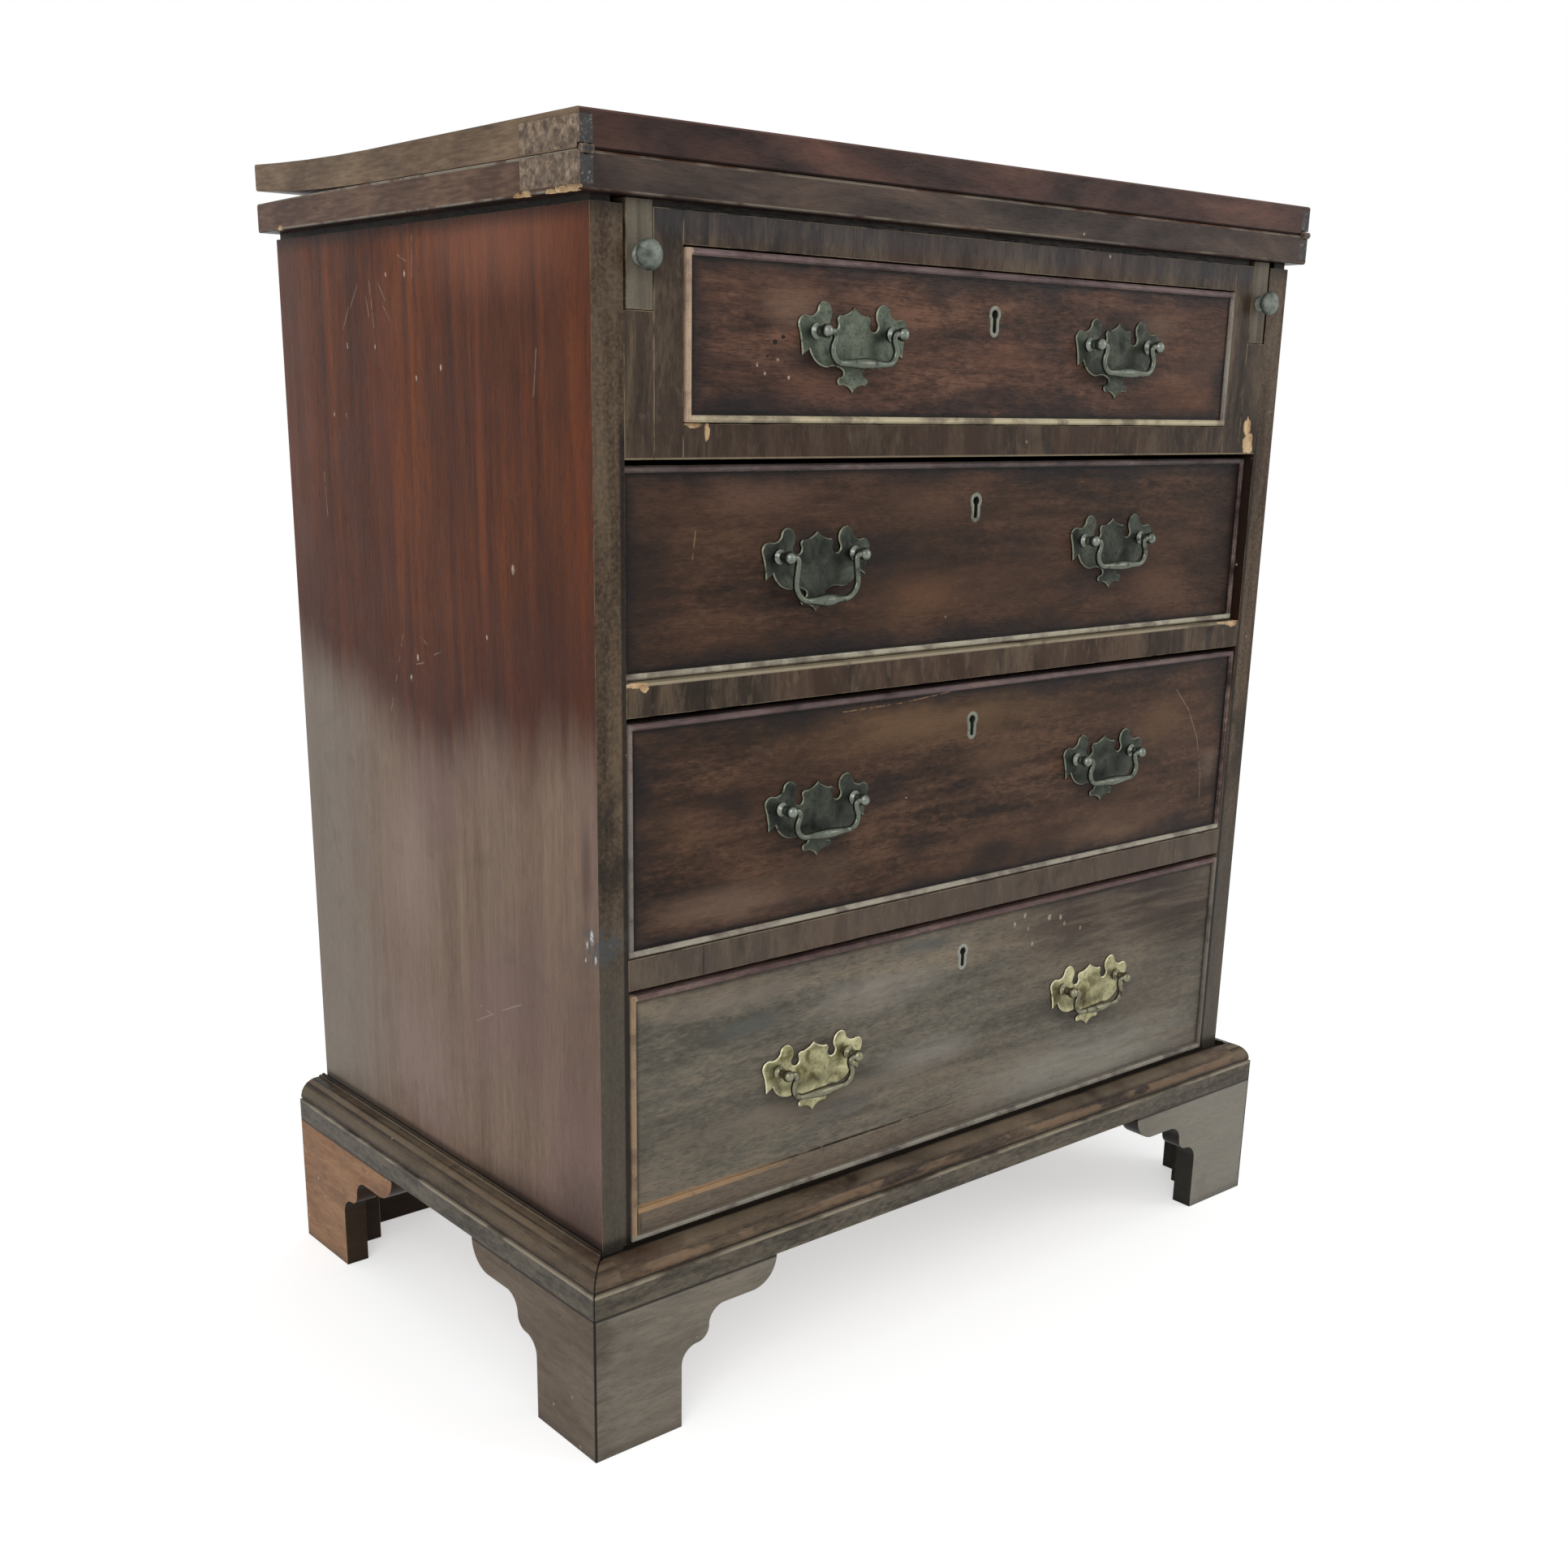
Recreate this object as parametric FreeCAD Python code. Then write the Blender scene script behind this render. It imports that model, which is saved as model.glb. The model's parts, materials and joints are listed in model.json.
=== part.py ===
import FreeCAD, Part
import math
import os

# Bachelor's chest with a fold-over top, four graduated drawers, pull-out lopers and bracket feet.
# Millimetres. +Z is up, the front faces -Y, and the origin is on the floor under the middle of the box.

V = FreeCAD.Vector

# Carcass
CARCASS_WIDTH = 644.0
CARCASS_DEPTH = 391.0
SIDE_THICKNESS = 22.0
OPENING_1 = 97.5
OPENING_2 = 129.0
OPENING_3 = 151.5
OPENING_4 = 173.0
RAIL_HEIGHT = 20.5
RAIL_DEPTH = 55.0
FRIEZE_HEIGHT = 18.5
FRIEZE_DEPTH = 32.0
STILE_WIDTH = 21.1
STILE_DEPTH = 22.0
DUSTBOARD_THICKNESS = 10.0
BOTTOM_THICKNESS = 18.0
SUBTOP_THICKNESS = 16.0
HOUSING_DEPTH = 6.0
BACK_THICKNESS = 10.0
BACK_LAP = 11.0
BACK_BOARDS = 4
BACK_BOARD_GAP = 0.8

# Fold-over top
LEAF_THICKNESS = 20.3
LEAF_GAP = 0.4
LEAF_OVERHANG_SIDE = 10.8
LEAF_OVERHANG_FRONT = 7.5
LEAF_OVERHANG_BACK = 4.5
LEAF_EASE = 1.2
SHADOW_GAP = 4.0
WARP_LENGTH = 165.0
FOLD_RISE = 6.5
FOLD_TOP_DIP = 1.2
FOLD_TOP_RISE = 3.3
FIXED_SAG = 1.8

# Hinges at the front corners of the two leaves
HINGE_LENGTH = 60.0
HINGE_HEIGHT = 17.0
HINGE_THICKNESS = 2.0
HINGE_RETURN_MARGIN = 0.5
HINGE_STAND = 0.3
HINGE_INSET = 0.8
KNUCKLE_RADIUS = 2.4
KNUCKLE_LENGTH = 2.4
KNUCKLE_GAP = 0.3
KNUCKLE_RELIEF = 0.5
HINGE_PIN_RADIUS = 1.0
PIN_FIT = 0.05
PIN_RUNNING_FIT = 0.15

# Lopers
LOPER_WIDTH = 18.4
LOPER_HEIGHT = 58.3
LOPER_BACK_GAP = 41.0
LOPER_OUTER_GAP = 2.0
LOPER_INNER_GAP = 0.5
LOPER_TOP_GAP = 0.4
LOPER_KNOB_DROP = 30.0
KNOB_FOOT_RADIUS = 5.2
KNOB_FOOT_HEIGHT = 1.6
KNOB_NECK_RADIUS = 3.6
KNOB_NECK_START = 3.2
KNOB_RADIUS = 8.6
KNOB_REACH = 9.6
KNOB_BALL_HALF = 5.4
KNOB_SIDES = 12

# Base moulding and bracket feet
FOOT_HEIGHT = 103.0
BASE_PROJECTION = 22.5
FASCIA_HEIGHT = 16.6
QUIRK_DEPTH = 2.1
QUIRK_HEIGHT = 1.1
THUMB_SETBACK = 1.1
THUMB_RADIUS = 13.8
GUTTER_SLOPE = 2.1
GUTTER_DEPTH = 2.0
FLOOR_CLEARANCE = 0.5
REED_FLAT = 2.4
REED_HEIGHT = 1.5
FOOT_WIDTH = 69.5
FOOT_THICKNESS = 18.0
BRACKET_ROUND = 21.0
BRACKET_FLAT = 24.5
BRACKET_COVE = 13.0
BRACKET_NOSE = 10.0
BRACKET_HOLLOW = 13.0
REAR_BRACKET_LENGTH = 108.0
GLUE_BLOCK = 24.0
GLUE_BLOCK_LIFT = 2.0

# Drawers
SETBACK_1 = 0.0
SETBACK_2 = 9.0
SETBACK_3 = 2.5
SETBACK_4 = 0.5
TOP_GAP_1 = 1.2
TOP_GAP_2 = 3.5
TOP_GAP_3 = 4.0
TOP_GAP_4 = 3.5
DRAWER_SIDE_GAP = 1.2
DRAWER_LIFT = 0.3
FRONT_LIFT = 0.6
FRONT_THICKNESS = 20.0
DRAWER_BACK_GAP = 8.0
DRAWER_SIDE = 9.0
DRAWER_SIDE_DROP = 7.0
DRAWER_BACK_DROP = 6.0
DRAWER_BOTTOM = 6.0
BOTTOM_RAISE = 10.0
BOTTOM_GROOVE = 4.0
TAIL_PITCH = 36.0
TAIL_LAP = 1.5
TAIL_FLARE = 1.4
PIN_WIDTH = 5.0
BEAD_WIDTH = 4.0
BEAD_DEPTH = 12.0
BEAD_PROUD = 2.5
BEAD_NOSE = 1.4
STOP_WIDTH = 40.0
STOP_LENGTH = 26.0
STOP_HEIGHT = 6.0
STOP_SPACING = 300.0
STOP_CLEARANCE = 0.3
STRIP_HEIGHT = 19.0
STRIP_DEPTH = 8.0
STRIP_PROUD = 2.4

# Brasses; their small curves are drawn in flats to keep the model light
FLAT_TURN = 45.0
TURNED_SIDES = 8
BAIL_SIDES = 6
HANDLE_SPACING_1 = 253.0
HANDLE_SPACING = 290.0
HANDLE_RISE = 6.0
POST_SPACING = 63.5
PLATE_THICKNESS = 1.6
COLLAR_RADIUS = 4.4
COLLAR_HEIGHT = 1.6
NECK_RADIUS = 2.5
NECK_START = 3.4
POST_REACH = 10.0
BALL_RADIUS = 4.2
SHANK = 4.0
SHANK_FIT = 0.2
NUT = 9.0
NUT_THICKNESS = 3.0
BAIL_PIN_RADIUS = 1.5
BAIL_RADIUS = 2.1
BAIL_BAR_RADIUS = 2.7
BAIL_PIN_DEPTH = 3.6
BAIL_SHOULDER = 2.6
BAIL_SWAN_RADIUS = 8.0
BAIL_CORNER_RADIUS = 7.8
BAIL_BALL_GAP = 0.4
BAIL_EASING = 0.6
BAIL_LEG = 0.6
BAIL_SWAN_ANGLE = 28.0
PLAIN_BAIL_LEG = 10.7
PLAIN_BAIL_ANGLE = 8.0
PLAIN_BAIL_CORNER_RADIUS = 11.5
PLAIN_BAIL_BAR_RADIUS = 3.4
BAIL_FIT = 0.15

# Locks and keyholes
KEYHOLE_DROP = 26.0
KEYHOLE_RADIUS = 3.6
KEYHOLE_SLOT = 4.4
KEYHOLE_TAIL = 12.4
ESCUTCHEON_RIM = 2.0
ESCUTCHEON_PROUD = 0.3
LOCK_WIDTH = 56.0
LOCK_HEIGHT = 44.0
BOLT_WIDTH = 16.0
LOCK_WALL = 1.2
BOLT_HEIGHT = 22.0
BOLT_THROW = 9.0
BOLT_FIT = 0.3
MORTISE_CLEARANCE = 1.2

# Levels and lines that follow from the sizes above
HALF_WIDTH = CARCASS_WIDTH / 2
INNER_X = HALF_WIDTH - SIDE_THICKNESS
SLOT_WIDTH = LOPER_OUTER_GAP + LOPER_WIDTH + LOPER_INNER_GAP
STILE_OUTER_X = INNER_X - SLOT_WIDTH
STILE_INNER_X = STILE_OUTER_X - STILE_WIDTH
LEAF_HALF = HALF_WIDTH + LEAF_OVERHANG_SIDE
BASE_HALF = HALF_WIDTH + BASE_PROJECTION

FRONT_Y = BASE_PROJECTION - (BASE_PROJECTION + CARCASS_DEPTH + LEAF_OVERHANG_BACK) / 2
BACK_Y = FRONT_Y + CARCASS_DEPTH
BACK_INNER_Y = BACK_Y - BACK_THICKNESS
BASE_FRONT_Y = FRONT_Y - BASE_PROJECTION
LEAF_FRONT_Y = FRONT_Y - LEAF_OVERHANG_FRONT
LEAF_BACK_Y = BACK_Y + LEAF_OVERHANG_BACK

LOCK_DEPTH = FRONT_THICKNESS - BEAD_DEPTH
BOLT_THICKNESS = LOCK_DEPTH - 2 * (LOCK_WALL + BOLT_FIT)
TAIL_LENGTH = LOCK_DEPTH - TAIL_LAP

THUMB_Z = FOOT_HEIGHT + FASCIA_HEIGHT + QUIRK_HEIGHT
CROWN_Z = THUMB_Z + THUMB_RADIUS
FLOOR = {4: CROWN_Z + FLOOR_CLEARANCE}
CEILING = {4: FLOOR[4] + OPENING_4}
FLOOR[3] = CEILING[4] + RAIL_HEIGHT
CEILING[3] = FLOOR[3] + OPENING_3
FLOOR[2] = CEILING[3] + RAIL_HEIGHT
CEILING[2] = FLOOR[2] + OPENING_2
FLOOR[1] = CEILING[2] + RAIL_HEIGHT
CEILING[1] = FLOOR[1] + OPENING_1
CARCASS_TOP_Z = CEILING[1] + FRIEZE_HEIGHT
LEAF_Z = CARCASS_TOP_Z + SHADOW_GAP
SUBTOP_Z = LEAF_Z - SUBTOP_THICKNESS
FIXED_TOP_Z = LEAF_Z + LEAF_THICKNESS
JOINT_Z = FIXED_TOP_Z + LEAF_GAP / 2
FOLD_Z = FIXED_TOP_Z + LEAF_GAP
TOP_Z = FOLD_Z + LEAF_THICKNESS
HINGE_Y = LEAF_FRONT_Y - HINGE_STAND
HINGE_RETURN = 3 * (KNUCKLE_LENGTH + KNUCKLE_GAP) + HINGE_RETURN_MARGIN
LOPER_Z = LEAF_Z - LOPER_TOP_GAP - LOPER_HEIGHT
LOPER_FLOOR_Z = LOPER_Z - DRAWER_LIFT

SETBACK = {1: SETBACK_1, 2: SETBACK_2, 3: SETBACK_3, 4: SETBACK_4}
TOP_GAP = {1: TOP_GAP_1, 2: TOP_GAP_2, 3: TOP_GAP_3, 4: TOP_GAP_4}
OPENING_HALF = {1: STILE_INNER_X, 2: INNER_X, 3: INNER_X, 4: INNER_X}
SPACING = {1: HANDLE_SPACING_1, 2: HANDLE_SPACING, 3: HANDLE_SPACING, 4: HANDLE_SPACING}
DRAWERS = range(1, 5)


# Plain helpers

def box(x0, x1, y0, y1, z0, z1):
    return Part.makeBox(x1 - x0, y1 - y0, z1 - z0, V(x0, y0, z0))


def mirror_x(shape):
    return shape.mirror(V(0, 0, 0), V(1, 0, 0))


def wire(start, steps, place):
    """A closed wire: each step is a point for a line, or a pair (through, end) for an arc."""
    edges = []
    here = start
    for step in steps:
        if isinstance(step[0], tuple):
            through, end = step
            edges.append(Part.Arc(place(*here), place(*through), place(*end)).toShape())
        else:
            end = step
            edges.append(Part.LineSegment(place(*here), place(*end)).toShape())
        here = end
    if math.dist(here, start) > 1e-6:
        edges.append(Part.LineSegment(place(*here), place(*start)).toShape())
    return Part.Wire(edges)


def prism(start, steps, place, along):
    return Part.Face(wire(start, steps, place)).extrude(along)


def plan_prism(points, z0, z1):
    return prism(points[0], points[1:], lambda x, y: V(x, y, z0), V(0, 0, z1 - z0))


def front_prism(start, steps, x, z, y0, y1):
    """A shape drawn on the front, around (x, z), from y0 back to y1."""
    return prism(start, steps, lambda u, w: V(x + u, y0, z + w), V(0, y1 - y0, 0))


def mirrored_steps(start, half):
    """A whole outline whose right half runs through these points from the top centre to the bottom."""
    left = [(-u, w) for u, w in reversed([start] + half[:-1])]
    return half + left


def arc_flats(start, through, end):
    """Points along an arc, one for each FLAT_TURN of its turn."""
    arc = Part.Arc(V(*start, 0), V(*through, 0), V(*end, 0))
    first, last = arc.FirstParameter, arc.LastParameter
    count = max(2, round(math.degrees(last - first) / FLAT_TURN))
    points = [arc.value(first + (last - first) * index / count) for index in range(1, count)]
    return [(point.x, point.y) for point in points] + [end]


def flats(start, steps):
    """The steps of an outline with each arc drawn in flats."""
    points = []
    here = start
    for step in steps:
        if isinstance(step[0], tuple):
            points += arc_flats(here, *step)
        else:
            points.append(step)
        here = points[-1]
    return points


def skin(rings):
    """A solid with flat sides between rings of points, closed at both ends."""
    count = len(rings[0])
    faces = [Part.Face(Part.makePolygon(ring + ring[:1])) for ring in (rings[0], rings[-1])]
    for near, far in zip(rings, rings[1:]):
        for index in range(count):
            after = (index + 1) % count
            corners = [near[index], near[after], far[after], far[index], near[index]]
            faces.append(Part.Face(Part.makePolygon(corners)))
    solid = Part.makeSolid(Part.makeShell(faces))
    if solid.Volume < 0:
        solid.reverse()
    return solid


def ring_angles(sides):
    return [2 * math.pi * (index + 0.5) / sides for index in range(sides)]


def turned(profile, sides, x, y, z):
    """A turned piece that stands forward from (x, y, z); profile holds (radius, reach) pairs."""
    rings = []
    for radius, reach in profile:
        rings.append([V(x + radius * math.cos(a), y - reach, z + radius * math.sin(a))
                      for a in ring_angles(sides)])
    return skin(rings)


def save(name, *solids):
    shape = solids[0] if len(solids) == 1 else Part.makeCompound(list(solids))
    shape.exportStep(os.path.join("parts", name + ".step"))


# Carcass

def side_right():
    panel = box(INNER_X, HALF_WIDTH, FRONT_Y, BACK_Y, FOOT_HEIGHT, CARCASS_TOP_Z)
    rebate = box(INNER_X, HALF_WIDTH - BACK_LAP, BACK_INNER_Y, BACK_Y, FOOT_HEIGHT, CARCASS_TOP_Z)
    housing_x = INNER_X + HOUSING_DEPTH
    cuts = [rebate, box(INNER_X, housing_x, FRONT_Y, BACK_INNER_Y, FLOOR[4] - BOTTOM_THICKNESS, FLOOR[4])]
    for n in (1, 2, 3):
        low = FLOOR[n] - DUSTBOARD_THICKNESS
        cuts.append(box(INNER_X, housing_x, FRONT_Y + RAIL_DEPTH, BACK_INNER_Y, low, FLOOR[n]))
    return panel.cut(cuts)


def carcass_bottom():
    reach = INNER_X + HOUSING_DEPTH
    return box(-reach, reach, FRONT_Y, BACK_INNER_Y, FLOOR[4] - BOTTOM_THICKNESS, FLOOR[4])


def dustboard(n):
    reach = INNER_X + HOUSING_DEPTH
    return box(-reach, reach, FRONT_Y + RAIL_DEPTH, BACK_INNER_Y, FLOOR[n] - DUSTBOARD_THICKNESS, FLOOR[n])


def bolt_mortise(n):
    """The pocket above drawer n that its lock bolt rises into."""
    bolt_y = face_y(n) + BEAD_DEPTH + LOCK_WALL + BOLT_FIT
    reach_x = BOLT_WIDTH / 2 + MORTISE_CLEARANCE
    y0 = bolt_y - MORTISE_CLEARANCE
    y1 = bolt_y + BOLT_THICKNESS + MORTISE_CLEARANCE
    return box(-reach_x, reach_x, y0, y1, CEILING[n], front_top(n) + BOLT_THROW + MORTISE_CLEARANCE)


def frieze_rail():
    rail = box(-STILE_INNER_X, STILE_INNER_X, FRONT_Y, FRONT_Y + FRIEZE_DEPTH, CEILING[1], CARCASS_TOP_Z)
    return rail.cut(bolt_mortise(1))


def rail_above(n):
    """The rail above drawer n; the upper one is notched round the two stiles."""
    rail = box(-INNER_X, INNER_X, FRONT_Y, FRONT_Y + RAIL_DEPTH, CEILING[n], FLOOR[n - 1])
    if n == 2:
        for x0, x1 in ((-INNER_X, -STILE_INNER_X), (STILE_INNER_X, INNER_X)):
            rail = rail.cut(box(x0, x1, FRONT_Y, FRONT_Y + STILE_DEPTH, CEILING[n], FLOOR[n - 1]))
    return rail.cut(bolt_mortise(n))


def stile_right():
    return box(STILE_INNER_X, STILE_OUTER_X, FRONT_Y, FRONT_Y + STILE_DEPTH, CEILING[2], CARCASS_TOP_Z)


def partition_right():
    return box(STILE_INNER_X, STILE_OUTER_X, FRONT_Y + STILE_DEPTH, BACK_INNER_Y, FLOOR[1], SUBTOP_Z)


def loper_runner_right():
    """The filler seen under the loper, and the runner behind it."""
    front, back = FRONT_Y, BACK_INNER_Y
    shoulder = FRONT_Y + STILE_DEPTH
    points = [(front, CEILING[2]), (shoulder, CEILING[2]), (shoulder, FLOOR[1]), (back, FLOOR[1]),
              (back, LOPER_FLOOR_Z), (front, LOPER_FLOOR_Z)]
    return prism(points[0], points[1:], lambda y, z: V(STILE_OUTER_X, y, z), V(SLOT_WIDTH, 0, 0))


def sub_top():
    return box(-STILE_OUTER_X, STILE_OUTER_X, FRONT_Y + FRIEZE_DEPTH, BACK_INNER_Y, SUBTOP_Z, LEAF_Z)


def back_boards():
    reach = HALF_WIDTH - BACK_LAP
    pitch = 2 * reach / BACK_BOARDS
    low = FLOOR[4] - BOTTOM_THICKNESS
    boards = []
    for index in range(BACK_BOARDS):
        x0 = -reach + index * pitch
        boards.append(box(x0, x0 + pitch - BACK_BOARD_GAP, BACK_INNER_Y, BACK_Y, low, CARCASS_TOP_Z))
    return boards


def drawer_stops():
    stops = []
    for n in DRAWERS:
        y0 = face_y(n) + FRONT_THICKNESS + STOP_CLEARANCE
        for centre in (-STOP_SPACING / 2, STOP_SPACING / 2):
            x0 = centre - STOP_WIDTH / 2
            stops.append(box(x0, x0 + STOP_WIDTH, y0, y0 + STOP_LENGTH, FLOOR[n], FLOOR[n] + STOP_HEIGHT))
    return stops


# Fold-over top

def fixed_leaf():
    bend_y = LEAF_BACK_Y - WARP_LENGTH
    sag = (LEAF_BACK_Y - WARP_LENGTH / 2, FIXED_TOP_Z - FIXED_SAG / 4)
    steps = [(LEAF_BACK_Y, LEAF_Z), (LEAF_BACK_Y, FIXED_TOP_Z - FIXED_SAG), (sag, (bend_y, FIXED_TOP_Z)),
             (LEAF_FRONT_Y, FIXED_TOP_Z)]
    return cut_for_hinges(leaf((LEAF_FRONT_Y, LEAF_Z), steps), -1)


def fold_leaf():
    bend_y = LEAF_BACK_Y - WARP_LENGTH
    middle_y = LEAF_BACK_Y - WARP_LENGTH / 2
    low_top = TOP_Z - FOLD_TOP_DIP
    under = (middle_y, FOLD_Z + FOLD_RISE / 4)
    over = (middle_y, low_top + (FOLD_TOP_RISE + FOLD_TOP_DIP) / 4)
    steps = [(bend_y, FOLD_Z), (under, (LEAF_BACK_Y, FOLD_Z + FOLD_RISE)),
             (LEAF_BACK_Y, TOP_Z + FOLD_TOP_RISE), (over, (bend_y, low_top)), (LEAF_FRONT_Y, TOP_Z)]
    return cut_for_hinges(leaf((LEAF_FRONT_Y, FOLD_Z), steps), 1)


def leaf(start, steps):
    board = prism(start, steps, lambda y, z: V(-LEAF_HALF, y, z), V(2 * LEAF_HALF, 0, 0))
    return board.makeChamfer(LEAF_EASE, leaf_arrises(board))


def leaf_arrises(board):
    """The long front and back edges; the ends stay square for the hinges."""
    arrises = []
    for edge in board.Edges:
        ends = [vertex.Point for vertex in edge.Vertexes]
        if abs(ends[0].x - ends[1].x) > LEAF_HALF:
            near_edge = min(abs(ends[0].y - LEAF_FRONT_Y), abs(ends[0].y - LEAF_BACK_Y))
            if near_edge < LEAF_EASE:
                arrises.append(edge)
    return arrises


def hinge_axis(x0, x1, radius):
    """A length of the hinge's axis: a knuckle or its bore."""
    rings = []
    for x in (x0, x1):
        rings.append([V(x, HINGE_Y + radius * math.cos(a), JOINT_Z + radius * math.sin(a))
                      for a in ring_angles(TURNED_SIDES)])
    return skin(rings)


def hinge_room(x0, x1):
    """Room for a knuckle to turn in."""
    reach = KNUCKLE_RADIUS + KNUCKLE_RELIEF
    return box(x0, x1, HINGE_Y - reach, HINGE_Y + reach, JOINT_Z - reach, JOINT_Z + reach)


def knuckle_span(index):
    x1 = LEAF_HALF - KNUCKLE_GAP - index * (KNUCKLE_LENGTH + KNUCKLE_GAP)
    return x1 - KNUCKLE_LENGTH, x1


def hinge_blank(way, grow=0.0):
    """The L-shaped plate let into the end and the front edge of a leaf; way is 1 for the upper leaf."""
    near = JOINT_Z + way * (LEAF_GAP / 2 + HINGE_INSET)
    far = JOINT_Z + way * (LEAF_GAP / 2 + HINGE_HEIGHT)
    low, high = min(near, far), max(near, far)
    inside = LEAF_HALF - HINGE_THICKNESS
    end = box(inside, LEAF_HALF + grow, LEAF_FRONT_Y - grow, LEAF_FRONT_Y + HINGE_LENGTH, low, high)
    back = LEAF_FRONT_Y + HINGE_THICKNESS
    turn = box(LEAF_HALF - HINGE_RETURN, LEAF_HALF + grow, LEAF_FRONT_Y - grow, back, low, high)
    return end.fuse(turn).removeSplitter()


def cut_for_hinges(board, way):
    recess = hinge_blank(way, grow=LEAF_EASE)
    relief_start = LEAF_HALF - HINGE_RETURN - KNUCKLE_GAP
    relief = hinge_room(relief_start, LEAF_HALF + LEAF_EASE)
    return board.cut([recess, relief, mirror_x(recess), mirror_x(relief)])


def hinge_plate(way):
    """One right-hand plate with its knuckles: the outer two below, the middle one above."""
    own = (1,) if way > 0 else (0, 2)
    fit = PIN_RUNNING_FIT if way > 0 else PIN_FIT
    bore = (HINGE_PIN_RADIUS + fit) / math.cos(math.pi / TURNED_SIDES)
    plate = hinge_blank(way)
    for index in range(3):
        x0, x1 = knuckle_span(index)
        if index in own:
            plate = plate.fuse(hinge_axis(x0, x1, KNUCKLE_RADIUS))
        else:
            plate = plate.cut(hinge_room(x0 - KNUCKLE_GAP, x1 + KNUCKLE_GAP))
    x0, x1 = knuckle_span(2)[0], knuckle_span(0)[1]
    return plate.removeSplitter().cut(hinge_axis(x0, x1, bore))


def hinge_pin():
    x0, x1 = knuckle_span(2)[0], knuckle_span(0)[1]
    return Part.makeCylinder(HINGE_PIN_RADIUS, x1 - x0, V(x0, HINGE_Y, JOINT_Z), V(1, 0, 0))


# Lopers

def loper_right():
    x0 = STILE_OUTER_X + LOPER_INNER_GAP
    back = BACK_INNER_Y - LOPER_BACK_GAP
    return box(x0, x0 + LOPER_WIDTH, FRONT_Y, back, LOPER_Z, LOPER_Z + LOPER_HEIGHT)


def loper_knob_right():
    """A turned knob: foot ring, neck and flattened ball."""
    x = STILE_OUTER_X + LOPER_INNER_GAP + LOPER_WIDTH / 2
    profile = [(KNOB_FOOT_RADIUS, 0), (KNOB_FOOT_RADIUS, KNOB_FOOT_HEIGHT)]
    profile.append((KNOB_NECK_RADIUS, KNOB_NECK_START))
    for turn in (-60, -30, 0, 30, 60, 80):
        angle = math.radians(turn)
        profile.append((KNOB_RADIUS * math.cos(angle), KNOB_REACH + KNOB_BALL_HALF * math.sin(angle)))
    return turned(profile, KNOB_SIDES, x, FRONT_Y, LEAF_Z - LOPER_KNOB_DROP)


# Base moulding and feet

def moulding_steps(at_side):
    """From the foot of the fascia up the thumb moulding; a gutter at the front, two reeds at the sides."""
    fascia_z = FOOT_HEIGHT + FASCIA_HEIGHT
    thumb_o = BASE_PROJECTION - THUMB_SETBACK
    centre_o = thumb_o - THUMB_RADIUS
    slant = THUMB_RADIUS * math.sqrt(0.5)
    quirk_o = BASE_PROJECTION - QUIRK_DEPTH
    thumb = ((centre_o + slant, THUMB_Z + slant), (centre_o, CROWN_Z))
    steps = [(BASE_PROJECTION, FOOT_HEIGHT), (BASE_PROJECTION, fascia_z), (quirk_o, fascia_z),
             (quirk_o, THUMB_Z), (thumb_o, THUMB_Z), thumb]
    if at_side:
        reed_width = (centre_o - REED_FLAT) / 2
        steps.append((2 * reed_width, CROWN_Z))
        for reed in (2, 1):
            outer, inner = reed * reed_width, (reed - 1) * reed_width
            foot = CROWN_Z + (2 - reed) * REED_HEIGHT / 2
            crown = ((outer + inner) / 2, foot + REED_HEIGHT)
            steps += arc_flats((outer, foot), crown, (inner, foot + REED_HEIGHT / 2))
    else:
        gutter_z = CROWN_Z - GUTTER_DEPTH
        steps += [(centre_o - GUTTER_SLOPE, gutter_z), (0, gutter_z)]
    return steps


def base_front():
    run = prism((0, FOOT_HEIGHT), moulding_steps(False), lambda o, z: V(-BASE_HALF, FRONT_Y - o, z),
                V(2 * BASE_HALF, 0, 0))
    plan = [(-HALF_WIDTH, FRONT_Y), (HALF_WIDTH, FRONT_Y),
            (BASE_HALF, BASE_FRONT_Y), (-BASE_HALF, BASE_FRONT_Y)]
    return run.common(plan_prism(plan, 0, CARCASS_TOP_Z))


def base_right():
    run = prism((0, FOOT_HEIGHT), moulding_steps(True), lambda o, z: V(HALF_WIDTH + o, BASE_FRONT_Y, z),
                V(0, LEAF_BACK_Y - BASE_FRONT_Y, 0))
    plan = [(HALF_WIDTH, FRONT_Y), (BASE_HALF, BASE_FRONT_Y),
            (BASE_HALF, LEAF_BACK_Y), (HALF_WIDTH, LEAF_BACK_Y)]
    return run.common(plan_prism(plan, 0, CARCASS_TOP_Z))


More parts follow.
